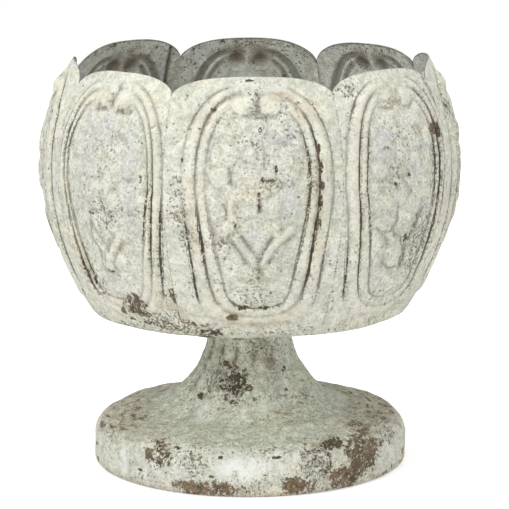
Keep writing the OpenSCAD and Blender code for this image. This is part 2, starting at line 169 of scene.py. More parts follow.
# Where lavender primer shows through the cream: across, up, half width, half height, strength
PETAL_COOL = {
    "front": [
        (1, 181, 4, 8, 0.9), (14, 193, 11, 7, 1), (18, 160, 6, 14, 0.9), (-14, 168, 7, 5, 0.4)],
    "front_left": [
        (-6, 190, 15, 15, 1), (-10, 165, 9, 22, 0.8), (18, 170, 6, 34, 0.8), (0, 150, 10, 12, 0.4)],
    "front_right": [
        (-14, 186, 9, 14, 1), (8, 178, 7, 18, 0.9), (-12, 118, 8, 10, 0.8), (-12, 150, 8, 12, 0.5)],
}
# Worn places on the petals: across, up, half width, half height, strength, and how dark: 0 is
# brown rust, 1 nearly black
PETAL_WEAR = {
    "front": [
        (-1.1, 219.8, 2.6, 0.9, 0.9, 0.5), (3.5, 196.1, 1.1, 1.6, 1, 0.7),
        (11.2, 177.2, 0.9, 2.2, 1, 0.6), (7.2, 171.5, 4.6, 1.3, 0.7, 0.1),
        (4, 172.6, 1.3, 0.9, 0.7, 0.2), (12.4, 168, 2.4, 2.2, 0.45, 0.6),
        (2.7, 159.6, 0.9, 3.4, 0.9, 0.7), (2.6, 165.4, 0.8, 1, 0.7, 0.6),
        (32.9, 186, 0.9, 3.8, 0.9, 0.3), (34.2, 177.6, 1.1, 4.4, 0.95, 0.3),
        (34.5, 168.4, 1.7, 2.3, 1, 0.5), (34, 160, 0.9, 5.2, 0.95, 0.5),
        (33.4, 149.6, 0.8, 4, 0.8, 0.5), (-10.4, 98.6, 3.2, 2.1, 1, 0.1),
        (-4.9, 104.2, 3.6, 1.4, 1, 0.9), (5, 104.1, 3.6, 1.3, 1, 0.9),
        (-19.4, 205.8, 1.8, 1.4, 0.5, 0.6), (-26.8, 197.8, 1.2, 2.6, 0.55, 0.5),
        (13.3, 213.6, 1.8, 0.8, 0.6, 0.2), (22.6, 208.6, 1.2, 1.8, 0.5, 0.2),
        (1.7, 209, 0.8, 2.6, 0.5, 0.8), (-22, 89.4, 7, 2.2, 0.75, 0.8), (-34, 93, 8, 4, 0.52, 0.7),
        (-2.1, 89, 2, 0.7, 0.45, 0.7), (16.1, 89, 2.6, 0.7, 0.45, 0.5),
        (-36, 181, 0.7, 1.6, 0.7, 0.6), (-9, 149, 1, 1.3, 0.6, 0.7),
        (1.5, 126, 0.8, 2.6, 0.55, 0.8), (0.3, 118.5, 0.8, 2.4, 0.6, 0.8)],
    "front_right": [
        (26, 190.4, 5, 3.8, 0.95, 0.15), (30.5, 188.8, 2.4, 4.4, 0.9, 0.9),
        (33.2, 186.5, 1.2, 2, 0.8, 0.7), (2.4, 135.9, 1.8, 2.2, 0.9, 0.8),
        (3.4, 129.6, 1.4, 2.2, 0.5, 0.8), (7.4, 143.6, 0.9, 2.4, 0.7, 0.9),
        (7.1, 121.8, 2.4, 2, 0.5, 0.8), (15.6, 93.9, 2.2, 0.9, 0.6, 0),
        (20.2, 96.1, 2, 0.9, 0.6, 0), (-10.7, 165.8, 1.3, 1.3, 0.9, 0.6),
        (-13.4, 167, 0.8, 2, 0.6, 0.7), (1.3, 169.2, 1.2, 1.2, 0.6, 0.9),
        (-14.4, 184.4, 1.6, 0.9, 0.6, 0.6), (-5.3, 207.6, 1.4, 0.9, 0.5, 0.2),
        (-33, 214.5, 2.6, 1, 0.6, 0.7), (-37.5, 212.8, 1.2, 0.8, 0.5, 0.7)],
    "front_left": [
        (7, 101, 11, 7, 0.76, 0.4), (24, 92, 16, 4, 0.5, 0.8), (34.1, 108.6, 3.6, 5, 1, 0.35),
        (35, 105.4, 1, 1.8, 0.8, 0.6), (33.4, 100, 2, 1.2, 0.9, 0.5),
        (33.2, 89.4, 3.4, 1, 0.9, 0.6), (-4.6, 96.4, 2.6, 2.2, 1, 0.3),
        (4.6, 104.2, 1.4, 2.6, 0.8, 0.5), (9, 105, 3, 3, 0.9, 0.3), (5, 99.4, 5, 3, 0.95, 0.25),
        (-0.2, 92.6, 3, 0.9, 0.8, 0.7), (9.7, 91.4, 3.6, 1, 0.8, 0.7), (20, 89.6, 3, 0.8, 0.6, 0.7),
        (-25.8, 119.7, 1, 3.6, 0.95, 0.45), (-22.6, 115.6, 1, 3, 0.95, 0.5),
        (-19, 112.2, 1, 2.4, 0.9, 0.8), (-15.8, 106.4, 0.9, 1.8, 0.8, 0.6),
        (-0.7, 120.3, 2.2, 1.1, 0.9, 0.8), (-5, 122, 1.4, 0.9, 0.6, 0.8),
        (12, 127.6, 0.9, 3.6, 0.6, 0.9), (-8, 150.4, 2.6, 0.9, 0.7, 0.9),
        (6.2, 150, 1.2, 1, 0.7, 0.9), (-2.2, 210.4, 2.2, 1.4, 0.55, 0.1), (-2, 183, 2, 1, 0.4, 0.5),
        (26, 170, 0.8, 3, 0.7, 0.8)],
    "right": [(-31.4, 198.7, 1.6, 2.2, 0.8, 0.4), (-29.2, 189.8, 1.6, 2.4, 0.7, 0.4)],
}
# Warm stains on the petals: across, up, half width, half height, strength
PETAL_STAINS = {
    "front": [
        (14, 212, 7, 2.4, 0.8), (24, 205, 5, 5, 0.7), (-7, 163, 7, 8, 0.45), (-24, 200, 4, 6, 0.4),
        (0, 94.6, 20, 3, 0.7), (-31, 150, 3, 26, 0.4), (32.5, 160, 2.6, 26, 0.65),
        (17, 101.5, 7, 3, 0.6), (8, 171, 6, 4, 0.5), (-11, 99, 6, 4, 0.8), (-39, 98, 5, 6, 0.6),
        (-31, 143, 3, 6, 0.7)],
    "front_left": [
        (28, 104, 8, 8, 0.6), (8, 101, 9, 5, 0.6), (-24, 120, 5, 16, 0.55), (-4, 208, 5, 3, 0.5)],
    "front_right": [
        (26, 190, 4, 4.5, 0.8), (17, 95, 7, 3, 0.6), (0, 209, 7, 3, 0.3), (-4, 170, 5, 5, 0.4)],
}
# Where dark specks lie thick on the petals: across, up, half width, half height, strength
PETAL_SPECKS = {
    "front": [
        (-32, 91, 20, 4.5, 1.2), (0, 110, 12, 6, 0.8), (7, 168, 8, 5, 0.6), (-16, 201, 9, 4, 0.6),
        (18, 207, 9, 5, 0.55), (31, 150, 3, 34, 0.6), (-25, 162, 3, 16, 0.4), (0, 121, 4, 7, 0.6),
        (-38, 160, 6, 15, 0.8), (0.4, 208, 3, 7, 0.8), (5, 185, 14, 9, 0.5), (-33, 142, 6, 8, 0.8),
        (-18, 128, 7, 22, 0.5), (17, 190, 8, 12, 0.5)],
    "front_left": [
        (25, 94, 22, 6, 1.2), (-19, 112, 11, 13, 0.9), (6, 150, 16, 9, 0.5), (0, 204, 10, 6, 0.45),
        (29, 130, 4, 34, 0.55), (2, 186, 12, 8, 0.45), (-26, 150, 4, 20, 0.4)],
    "front_right": [
        (29, 162, 8, 40, 1.25), (18, 134, 10, 22, 1.1), (-28, 213, 9, 3.5, 0.6),
        (10, 104, 22, 8, 0.6), (-29, 140, 3, 34, 0.5), (-8, 168, 9, 8, 0.45), (4, 188, 16, 8, 0.35),
        (26, 205, 8, 8, 0.6)],
    "right": [(-24, 165, 14, 46, 0.8)],
    "left": [(20, 150, 14, 50, 0.5)],
}
# Worn places on the stem and the base: angle from the front, height in millimetres, half width
# along the surface, half height, strength, and how dark
STEM_WEAR = [
    (-16, 49.5, 8.5, 7, 0.68, 0.9), (-26, 56, 4.5, 3.5, 0.55, 0.4), (-12, 40.5, 8, 3.6, 0.48, 0.9),
    (-29, 57.3, 1.8, 1.8, 0.85, 0.2), (-24, 55.4, 1.2, 1.1, 0.8, 0.3),
    (-12.5, 51.6, 2.2, 1.7, 0.95, 0.8), (-24.5, 46.2, 3.4, 1.7, 0.9, 0.9),
    (-31, 49, 1.8, 1.8, 0.7, 0.7), (-9.5, 46.8, 2.4, 1.7, 0.95, 0.8),
    (-1, 45.6, 2.3, 1.4, 0.95, 0.2), (-5, 49.4, 1.2, 1.4, 0.8, 0.7), (-45, 40, 2.2, 1.4, 0.9, 0.7),
    (-12.5, 39, 2.2, 1.8, 0.8, 0.7), (-20, 41.6, 4, 1.2, 0.6, 0.8), (23, 59.6, 1.4, 2, 0.5, 0.9),
    (41.5, 53.9, 1.4, 1.2, 0.8, 0.3), (34.5, 44, 1.1, 1, 0.8, 0.8), (21, 35.2, 1.2, 0.9, 0.7, 0.7),
    (16.5, 65, 2, 2.4, 0.5, 0.9), (5, 70, 1.4, 1.6, 0.5, 0.9), (-52, 38, 1.2, 1, 0.6, 0.6),
    (-38, 42.4, 2, 0.9, 0.6, 0.7), (4, 40.5, 1.4, 1.2, 0.6, 0.8)]
BASE_WEAR = [
    (44, 17, 13, 10, 0.84, 0.15), (24, 17, 10, 8, 0.5, 0.9), (-19, 17, 9, 7, 0.47, 0.9),
    (-34, 19, 9, 7, 0.66, 0.2), (-14, 4.5, 21, 4.2, 0.78, 0), (17, 6, 11, 5.5, 0.72, 0.1),
    (36, 7, 11, 6.5, 0.78, 0), (60, 21, 10, 7, 0.5, 0.2), (-58, 20, 8, 8, 0.32, 0.3),
    (-38.5, 18.6, 2.4, 2.4, 1, 0.2), (-34.5, 21.4, 1.8, 1.6, 0.75, 0.5),
    (-29.5, 18.8, 2, 1.6, 0.85, 0.8), (-42.5, 9.2, 1.8, 1, 0.8, 0.6), (-18.5, 4.4, 9, 2.8, 0.95, 0),
    (-9, 4, 7, 2.8, 0.9, 0.05), (-24, 5.6, 3.4, 2, 0.8, 0), (2.5, 5, 8, 2.4, 0.45, 0.05),
    (16, 6, 6.4, 4.2, 1, 0.05), (32.5, 6.4, 6.4, 4.4, 0.9, 0), (40.5, 20, 8, 4.4, 0.85, 0.15),
    (48, 18.6, 6.6, 4.8, 0.9, 0.1), (41, 11, 6, 5.2, 1, 0.1), (53, 19.4, 3.4, 2.4, 0.7, 0.1),
    (30.5, 23.6, 8, 2, 0.9, 0.4), (39, 5, 2.6, 2.4, 0.9, 0.5), (22.5, 18, 4.6, 4.2, 0.52, 0.7),
    (19, 21.4, 3, 2, 0.5, 0.8), (27, 14.4, 4.4, 3.4, 0.5, 0.6), (-26, 23.6, 2.2, 0.7, 0.8, 0.9),
    (-10, 20.8, 1.2, 0.9, 0.9, 0.9), (9, 20.8, 2.6, 0.7, 0.95, 0.9),
    (5.5, 12.4, 1.1, 0.9, 0.9, 0.9), (-13.5, 11, 1.2, 0.9, 0.9, 0.7),
    (-17.5, 15.6, 6, 3.4, 0.44, 0.8), (-23, 19, 4, 2.4, 0.44, 0.8), (-66, 8, 3, 4, 0.35, 0.5),
    (64, 26.4, 8, 1.2, 0.6, 0.5)]
# Where dark specks lie thick on the base, and bright rubbed paint on the stem and on the base
BASE_SPECKS = [
    (24, 17, 12, 9, 1), (-19, 17, 10, 8, 0.85), (-34, 18, 8, 7, 0.7), (42, 12, 12, 10, 0.8),
    (0, 22, 30, 3.5, 0.55), (0, 6, 60, 4, 0.45), (60, 18, 12, 10, 0.4), (-60, 18, 14, 10, 0.3)]
STEM_WHITE = [
    (-34, 34.5, 8, 3.6, 0.6), (-52, 44, 3, 6, 0.5), (-9, 34, 6, 2.6, 0.3), (20, 38, 9, 4, 0.35)]
BASE_WHITE = [
    (-2, 15, 16, 6.6, 1), (-35.5, 14.6, 3.4, 2.2, 1), (-52, 11, 4, 9, 0.9), (59, 19, 6, 6, 0.5),
    (10, 14, 6, 4, 0.5)]


def seam(k):
    return (k - 0.5) * 360 / PETALS + SEAM_STRAY[k % PETALS]


def half_angle(k):
    return (seam(k + 1) - seam(k)) / 2


def rim_z(k, share, phi):
    """Height of petal k's top edge at a share of its half width."""
    rise = TIP_STRAY[k % PETALS]
    depth = ARCH_H - np.where(share < 0, NOTCH_STRAY[k % PETALS], NOTCH_STRAY[(k + 1) % PETALS])
    arch = (1 - np.clip(np.abs(share), 0, 1) ** ARCH_RUN) ** (1 / ARCH_RISE)
    return TIP_Z + rise - RIM_SLANT * np.cos(np.radians(phi)) - (depth + rise) * (1 - arch)


def wall_r(z):
    above = np.clip((z - BELLY_Z) / (TIP_Z - BELLY_Z), 0, 2)
    below = np.clip((BELLY_Z - z) / (BELLY_Z - HEEL_Z), 0, 2)
    return (BELLY_R - (BELLY_R - TIP_R) * above ** DRAW_ABOVE
            - (BELLY_R - HEEL_R) * below ** DRAW_BELOW)


def leaning(phi, z):
    """How much further out the top leans on the bowl's right."""
    above = np.clip((z - BELLY_Z) / (TIP_Z - BELLY_Z), 0, 2)
    return RIGHT_LEAN * bell(phi - LEAN_PHI, LEAN_SPAN) * above ** 2.5


def wall_normal(z):
    """The wall's outward direction, as its parts across and up."""
    slope = wall_r(z + 0.5) - wall_r(z - 0.5)
    size = np.sqrt(1 + slope ** 2)
    return 1 / size, -slope / size


HEEL_ANGLE = math.atan((BELLY_R - HEEL_R) * DRAW_BELOW / (BELLY_Z - HEEL_Z))
HEEL_CENTRE = (HEEL_R - HEEL_BEND * math.cos(HEEL_ANGLE),
               HEEL_Z + HEEL_BEND * math.sin(HEEL_ANGLE))
FLANGE_Z = HEEL_CENTRE[1] - HEEL_BEND
FLANGE_INNER_R = HEEL_CENTRE[0] - FLANGE_W
FLANGE_RADII = (FLANGE_INNER_R, (FLANGE_INNER_R + HEEL_CENTRE[0]) / 2)
BOWL_BOTTOM_Z = FLANGE_Z - SHEET_T / 2

# Length along the wall from its heel, at each height
RUN_Z = np.linspace(HEEL_Z - 4, TIP_Z + 6, 600)
RUN = np.concatenate([[0], np.cumsum(np.hypot(np.diff(RUN_Z), np.diff(wall_r(RUN_Z))))])


def smooth(x, low, high):
    t = np.clip((x - low) / (high - low), 0, 1)
    return t * t * (3 - 2 * t)


def bell(x, width):
    return np.exp(-(x / width) ** 2)


WAVES = 14


def waves(points, seed, size):
    """A gentle random swell, about -1 to 1, over points in millimetres."""
    rng = np.random.default_rng(seed)
    total = np.zeros(points.shape[:-1])
    for _ in range(WAVES):
        way = rng.normal(size=3)
        way *= 2 * math.pi / size * rng.uniform(0.6, 1.6) / np.linalg.norm(way)
        total += np.sin(points @ way + rng.uniform(0, 2 * math.pi))
    return total / math.sqrt(WAVES / 2) / 1.6


def lumpy(points, *layers):
    """Random swells laid over each other, each by its height, seed and size."""
    return sum(height * waves(points, seed, size) for height, seed, size in layers)


def around(phi, r, z):
    a = np.radians(phi)
    return np.stack([r * np.sin(a), -r * np.cos(a), z + 0 * r * a], axis=-1)


def from_front(phi):
    """The angle from the front, -180 to 180."""
    return (phi + 180) % 360 - 180


def nearness(x, z, place, full, gone, tight=1.0):
    """How near points are to a place given by its middle and half sizes. It is 1 up to full
    times those sizes away, and 0 beyond gone times."""
    px, pz, half_w, half_h = place
    return 1 - smooth(tight * np.hypot((x - px) / half_w, (z - pz) / half_h), full, gone)


def worn_places(x, z, places, tight=1.0):
    """How worn each point is, and how dark its bare sheet is, from a list of places."""
    worn, dark = np.zeros(x.shape), np.zeros(x.shape)
    for *place, strength, shade in places:
        near = strength * nearness(x, z, place, 0.6, 1.7, tight)
        dark = np.where(near > worn, shade, dark)
        worn = np.maximum(worn, near)
    return worn, dark


def soft_places(x, z, places):
    total = np.zeros(x.shape)
    for *place, strength in places:
        total = np.maximum(total, strength * nearness(x, z, place, 0.4, 1.5))
    return total


def scattered_wear(seed, count, wide, low, high):
    """Chips for the petals that the eye sees least, laid out by chance."""
    rng = np.random.default_rng(seed)
    return [(rng.uniform(-wide, wide), rng.uniform(low, high), rng.uniform(0.8, 2.4),
             rng.uniform(0.8, 2.6), rng.uniform(0.5, 1.0), rng.uniform(0.1, 0.9))
            for _ in range(count)]


# ---- The pressed frame and flowers of a petal ----

OUTLINE_STEPS = 65


def frame_outline(line, limit):
    """The closed outline as half angles and heights, from the foot round by the right."""
    half = min(line["half"], limit)
    t = np.linspace(0, 1, OUTLINE_STEPS)
    c, s = np.cos(t * math.pi / 2), np.sin(t * math.pi / 2)
    top = [half * c ** (2 / TOP_SQUARE), FRAME_Z + line["up"] * s ** (2 / TOP_SQUARE)]
    fall = s ** (2 / line["fall"])
    run = np.clip(1 - fall ** line["fall"], 0, 1) ** (1 / FOOT_SQUARE_RUN)
    run *= 1 - line["narrowing"] * fall ** line["rate"]
    foot = [half * run, FRAME_Z - line["down"] * fall]
    x = np.concatenate([foot[0][::-1], top[0][1:]])
    z = np.concatenate([foot[1][::-1], top[1][1:]])
    return np.concatenate([x, -x[::-1]]), np.concatenate([z, z[::-1]])


def inside_outline(line, limit, x, z):
    """Whether points, by half angle and height, lie within a pressed outline."""
    half = min(line["half"], limit)
    up = np.clip((z - FRAME_Z) / line["up"], 0, 1.5)
    down = np.clip((FRAME_Z - z) / line["down"], 0, 1.5)
    wide_top = np.clip(1 - up ** TOP_SQUARE, 0, 1) ** (1 / TOP_SQUARE)
    wide_foot = np.clip(1 - down ** line["fall"], 0, 1) ** (1 / FOOT_SQUARE_RUN)
    wide_foot *= 1 - line["narrowing"] * down ** line["rate"]
    wide = half * np.where(z >= FRAME_Z, wide_top, wide_foot)
    return (np.abs(x) < wide) & (up < 1) & (down < 1)


def flat(x, z):
    """A place on the wall laid flat, in millimetres."""
    return np.radians(x) * wall_r(z), np.interp(z, RUN_Z, RUN)


def distance(px, py, path):
    """How far points lie from a path of straight pieces."""
    best = np.full(px.shape, 1e9)
    for (ax, ay), (bx, by) in zip(path[:-1], path[1:]):
        ux, uy = bx - ax, by - ay
        t = np.clip(((px - ax) * ux + (py - ay) * uy) / max(ux * ux + uy * uy, 1e-9), 0, 1)
        best = np.minimum(best, (px - ax - t * ux) ** 2 + (py - ay - t * uy) ** 2)
    return np.sqrt(best)


def beyond(line, limit, x, z):
    """How far points lie outside an outline, negative inside it."""
    fx, fy = flat(x, z)
    away = distance(fx, fy, np.stack(flat(*frame_outline(line, limit)), axis=1))
    return np.where(inside_outline(line, limit, x, z), -away, away)


def bead(t, lean=0.75):
    """A rolled bead's height across its width: steep at the groove, soft at its outer side."""
    u = np.clip(t, 0, 1) ** lean
    return np.sin(math.pi * u) ** np.where(u < 0.5, 0.85, 1.35)


def ridge(px, py, path, width, height):
    """A pressed stalk: a rounded band along a path."""
    d = distance(px, py, path) / (width / 2)
    return height * np.clip(1 - d ** 2, 0, 1) ** 0.6


def lobe(px, py, x, y, half_w, half_h, turn, height):
    """A soft pressed swelling: a bud, a leaf or a petal of the spray."""
    c, s = math.cos(math.radians(turn)), math.sin(math.radians(turn))
    u = ((px - x) * c + (py - y) * s) / half_w
    v = (-(px - x) * s + (py - y) * c) / half_h
    return height * np.clip(1 - u ** 2 - v ** 2, 0, 1) ** 0.75


def blurred(h, passes):
    for _ in range(passes):
        wide = np.pad(h, 1, mode="edge")
        h = (wide[1:-1, 1:-1] + wide[:-2, 1:-1] + wide[2:, 1:-1] + wide[1:-1, :-2]
             + wide[1:-1, 2:]) / 5
    return h


def flowers(px, z, k):
    """The spray of flowers on the field: two stalks that spring from a knot, with leaves, a
    tulip between them and buds above."""
    parts = [lobe(px, z, *values) for values in LOBES + PETAL_LOBES.get(PETAL_NAMES[k], [])]
    parts += [ridge(px, z, path, width, height) for path, width, height in STALKS]
    return blurred(np.maximum.reduce(parts), 3)


def relief(x, z, k, worn_flowers):
    """The pressing over the plain wall, x degrees from the frame's middle: its height, its
    beads' height alone, how far each point lies from the three pressed lines, and how much
    of the lines shows."""
    limit = half_angle(k) - SEAM_MARGIN
    outer = beyond(OUTER_LINE, limit, x, z)
    groove = beyond(GROOVE_LINE, 90, x, z)
    inner = beyond(dict(INNER_LINE, half=INNER_LINE["half"] + INNER_STRAY[k]), 90, x, z)
    px, _ = flat(x, z)
    open_top = 1 - smooth(z, *OPEN_TOP_Z) * (1 - smooth(np.abs(px), *OPEN_TOP_X))
    large = LARGE_BEAD_H * bead(groove / np.maximum(groove - outer, 1e-6))
    large *= (groove > 0) * (outer < 0) * open_top
    small = SMALL_BEAD_H * bead(inner / np.maximum(inner - groove, 1e-6), 1.0)
    small *= (inner > 0) * (groove < 0) * open_top
    h = large + small
    h -= (GROOVE_DEPTH * bell(groove, LINE_W) + INNER_DEPTH * bell(inner, LINE_W)
          + OUTER_DEPTH * bell(outer, OUTER_LINE_W)) * open_top
    h *= 1 - 0.5 * smooth(FRAME_Z - z, *FAINT_FOOT_Z) * (1 - smooth(np.abs(px), *FAINT_FOOT_X))
    field = inner < 0
    h += FIELD_CROWN[k] * np.sin(np.clip(-inner / 20, 0, 1) * math.pi / 2) * field
    h += FLOWER_H[k] * flowers(px, z, k) * worn_flowers * smooth(-inner, 0.5, 4.0) * field
    for knob_x, knob_z in KNOBS:
        d = np.hypot((px - knob_x) / KNOB_HALF_W, (z - knob_z) / KNOB_HALF_H)
        h = np.maximum(h, KNOB_H[k] * np.clip(1 - d ** 2, 0, 1) ** 1.3)
        h -= 0.2 * bell(5.5 * (d - 1), 1.2) * smooth(z, 197, 203)
    h -= CLEFT_DEPTH * bell(px - CLEFT_X, 1.5) * bell(z - CLEFT_Z, 6.0)
    # Dirt shows less in the lines near the frame's top and foot
    near = np.abs(groove)
    foot = smooth(FRAME_Z - z, 54, 62)
    shown = open_top ** 2 * np.where((near < np.abs(inner)) & (near < np.abs(outer)),
                                     1 - 0.8 * foot, np.where(groove > 0, 1 - 0.95 * foot, 1))
    return h, large + small, (groove, inner, outer), shown


# ---- Meshes ----

def add_mesh(name, points, faces, marks):
    mesh = bpy.data.meshes.new(name)
    mesh.from_pydata(points.tolist(), [], faces.tolist())
    mesh.validate()
    for mark, values in marks.items():
        mesh.attributes.new(mark, "FLOAT", "POINT").data.foreach_set(
            "value", values.astype(np.float32))
    mesh.polygons.foreach_set("use_smooth", [True] * len(mesh.polygons))
    mesh.set_sharp_from_angle(angle=math.radians(50))
    obj = bpy.data.objects.new(name, mesh)
    bpy.context.scene.collection.objects.link(obj)
    return obj


def grid_faces(rows, cols, start, wrap, flip=False):
    r, c = np.meshgrid(np.arange(rows - 1), np.arange(cols if wrap else cols - 1), indexing="ij")
    right = (c + 1) % cols
    quad = np.stack([r * cols + c, r * cols + right, (r + 1) * cols + right, (r + 1) * cols + c],
                    axis=-1).reshape(-1, 4) + start
    return quad[:, ::-1] if flip else quad


def band(first, second):
    """Quads between two lines of points, given as point numbers."""
    return np.stack([first[:-1], first[1:], second[1:], second[:-1]], axis=-1)


def sheet_piece(name, node, slot, finish, outer, inner, outside, inside, wrap=False):
    """A closed sheet from its outer and inner nets of points, rows by columns, with the marks
    of its outside and its inside. A mark that one of them leaves out is 0 there."""
    rows, cols = outer.shape[:2]
    count = rows * cols
    number = np.arange(count).reshape(rows, cols)
    faces = [grid_faces(rows, cols, 0, wrap), grid_faces(rows, cols, count, wrap, flip=True)]
    edge = np.concatenate([number[0], number[0][:1]]) if wrap else number[0]
    top = np.concatenate([number[-1], number[-1][:1]]) if wrap else number[-1]
    faces += [band(edge + count, edge), band(top, top + count)]
    if not wrap:
        faces += [band(number[:, 0], number[:, 0] + count),
                  band(number[:, -1] + count, number[:, -1])]
    points = np.concatenate([outer.reshape(-1, 3), inner.reshape(-1, 3)]) * MM
    marks = {mark: np.concatenate([(side.get(mark, 0.0) + np.zeros((rows, cols))).ravel()
                                   for side in (outside, inside)])
             for mark in {**outside, **inside}}
    piece = add_mesh(name, points, np.concatenate(faces), marks)
    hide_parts(node)
    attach(piece, "root")
    piece.data.materials.append(finish)
    return piece


# How far below its surroundings a place lies that counts as a full hollow
FULL_HOLLOW = 0.34


def hollows(h):
    """How far each place of a relief lies below its surroundings, -1 to 1."""
    return np.clip((blurred(h, 14) - h) / FULL_HOLLOW, -1, 1)


# How finely the sheets are divided
WALL_ROWS, WALL_COLS, LAP_COLS, HEEL_STEPS = 200, 144, 8, 7
FLARE_STEPS, HEAD_STEPS, FLUTE_COLS, BASE_COLS = 92, 9, 18, 360
SEAM_GAP, STEP_W = 0.03, 0.08
# Chips on the petals have tighter edges than those on the foot
PETAL_CHIP_EDGE = 1.15
# Inside, the edge of one petal's lap shows as a dark line, a painted shadow with grime
SHADOWED_LAP = PETAL_NAMES.index("back_left")
# A petal with fewer worn places than this gets some by chance
FEW_PLACES = 6


def lap_grid(k, up):
    """Angles and heights of petal k's lap, which runs behind the petal on its right."""
    half = half_angle(k)
    on = np.degrees(np.linspace(0, LAP_W, LAP_COLS) / BELLY_R)
    top = rim_z(k + 1, on / half_angle(k + 1) - 1, seam(k) + half + half + on) - SOLDER_GAP
    z = HEEL_Z + (top[None, :] - HEEL_Z) * up
    return np.broadcast_to(half + on, z.shape), z


def rubbed_flat(h, phi, z):
    """The relief, with the fields' middles rubbed flat where they swell the most."""
    turn = np.radians((phi + 45) % 90 - 45)
    room = np.where(np.abs(turn) < 0.3, REACH / np.cos(turn) - wall_r(z), FAR)
    rubbed = room - RUB * np.exp(np.clip(1 - (h - room + 2 * RUB) / RUB, -9, 0))
    return np.where(h > room - RUB, rubbed, h)


def hammered(place, phi, z):
    """The slight swell of the sheet. Nothing swells at the four places that set the width."""
    swell = lumpy(place, (0.26, 11, 55), (0.12, 41, 17), (0.05, 43, 6))
    free = smooth(np.abs((phi + 45) % 90 - 45), 7, 17)
    return (np.minimum(swell, 0) + np.maximum(swell, 0) * free) * (1 - smooth(z, 216, 221))


def petal_side(phi, z, d):
    """One side of a petal, d from the middle of its wall: the flange, the heel and the wall."""
    nr, nz = wall_normal(z)
    rows = [around(phi[0], np.full(phi.shape[1], r), FLANGE_Z - d[0]) for r in FLANGE_RADII]
    for step in range(HEEL_STEPS):
        a = math.pi / 2 - (math.pi / 2 - HEEL_ANGLE) * step / HEEL_STEPS
        rows.append(around(phi[0], HEEL_CENTRE[0] + (HEEL_BEND + d[0]) * math.cos(a),
                           HEEL_CENTRE[1] - (HEEL_BEND + d[0]) * math.sin(a)))
    wall = around(phi, wall_r(z) + leaning(phi, z) + d * nr, z + d * nz)
    return np.concatenate([np.array(rows), wall])


def scroll_shade(k, px, z):
    """Where the two scrolls lie, a little higher on the back petals. Inside, the hollows behind
    them take painted shade with brown grime.
    """
    aside = px - np.radians(FRAME_STRAY[k] + TOP_SWING[k]) * wall_r(z)
    lift = 6.0 * smooth(abs(seam(k) + half_angle(k) - 180), 80, 30)
    return np.maximum.reduce([bell(np.hypot(aside - knob_x, z - knob_z - lift), 5.2)
                              for knob_x, knob_z in KNOBS])


def creased(name, px, z):
    """How dark the spray's creases are at each point."""
    total = np.zeros(z.shape)
    for path, width, strength in PETAL_CREASES.get(name, PETAL_CREASES["front"]):
        total = np.maximum(total, strength * bell(distance(px, z, path), width))
    return total


def petal_marks(k, x, z, place, lines, shown, beads, bend, field):
    """What the paint needs to know at each point of a petal, outside and inside."""
    name, half = PETAL_NAMES[k], half_angle(k)
    px, _ = flat(x, z)
    from_left = np.radians(x + half) * wall_r(z)
    from_right = np.radians(half - x) * wall_r(z)

    def soft(table, usual=()):
        return soft_places(px, z, table.get(name, usual))

    places = PETAL_WEAR.get(name, [])
    if len(places) < FEW_PLACES:
        places = places + scattered_wear(200 + k, count=16, wide=34, low=90, high=215)
    worn, dark = worn_places(px, z, places, PETAL_CHIP_EDGE)
    dirty = soft(PETAL_LINES, PETAL_LINES["front"])
    shown = shown * np.clip(0.38 + 0.65 * dirty + 0.25 * waves(place, 51 + k, 46), 0.12, 1.1)
    heel = 1 - smooth(z, 86, 96)
    scrolls = scroll_shade(k, px, z)
    at_back = 1 < k < PETALS - 1
    top_row = np.zeros(z.shape)
    top_row[-1] = 1.0 if at_back else 0.35
    # A painted shadow with grime beside the lap's free edge, strongest on one petal
    lap_shadow_and_grime = bell(from_left - LAP_W - 0.7, 1.2) * (from_left > LAP_W - 0.6)
    lap_shadow_and_grime = lap_shadow_and_grime * (1.0 if k == SHADOWED_LAP else 0.15)
    back_of_beads = np.clip(beads / LARGE_BEAD_H, 0, 1) ** 0.8
    # Inside, painted shade with grime in the backs of the beads and behind the scrolls
    inside_shade_and_grime = np.clip(1.1 * back_of_beads + 1.0 * scrolls - 0.45 * bend, 0, 1)
    outside = {
        "groove": lines[0], "inner": lines[1], "outer": lines[2], "shown": shown,
        "seam": np.clip(np.minimum(from_left, from_right), -1, FAR),
        # Painted shade with grime where the relief lies below its surroundings, most of all in the
        # field
        "hollow": np.clip(bend, 0, 1) * (0.3 + 0.7 * field),
        # A painted highlight with a pinkish tint on the bead crests
        "proud": np.clip(beads / LARGE_BEAD_H - 0.6 * bend, 0, 1), "edge": 0.3 * top_row,
        "pale": np.clip(0.8 * scrolls - 0.5 * bend, 0, 1),
        "worn": np.maximum(worn, 0.16 * heel), "dark": dark,
        "stain": np.maximum(soft(PETAL_STAINS), 0.35 * heel),
        "specks": np.maximum(soft(PETAL_SPECKS), 0.5 * heel),
        "crease": creased(name, px, z), "cool": soft(PETAL_COOL, PETAL_COOL["front"]),
        "field": field}
    inside = {
        "groove": FAR, "inner": FAR, "outer": FAR, "seam": FAR,
        # Inside: painted shade with grime in the hollows, and a painted highlight along the
        # groove's ridge
        "hollow": inside_shade_and_grime * (from_left > LAP_W), "proud": bell(lines[0], 1.0) * shown,
        # The bare top edge, a painted shadow with grime along the lap's edge, and painted shade
        # with brown grime behind the scrolls
        "edge": np.maximum(top_row, lap_shadow_and_grime), "rust_tint": scrolls,
        "worn": np.maximum(0.3 * worn, 0.42 * smooth(z, 205, 222) * at_back), "dark": 0.7,
        "stain": np.clip(0.1 + 0.5 * waves(place, 61 + k, 30), 0, 1), "specks": 0.15,
        "field": 0.6, "within": 1.0}
    return outside, inside


def over_flange(marks):
    """A petal's marks, carried from the foot of its wall over its heel and flange."""
    rows = len(FLANGE_RADII) + HEEL_STEPS
    return {mark: np.concatenate([np.repeat(values[:1], rows, axis=0), values])
            if np.ndim(values) else values for mark, values in marks.items()}


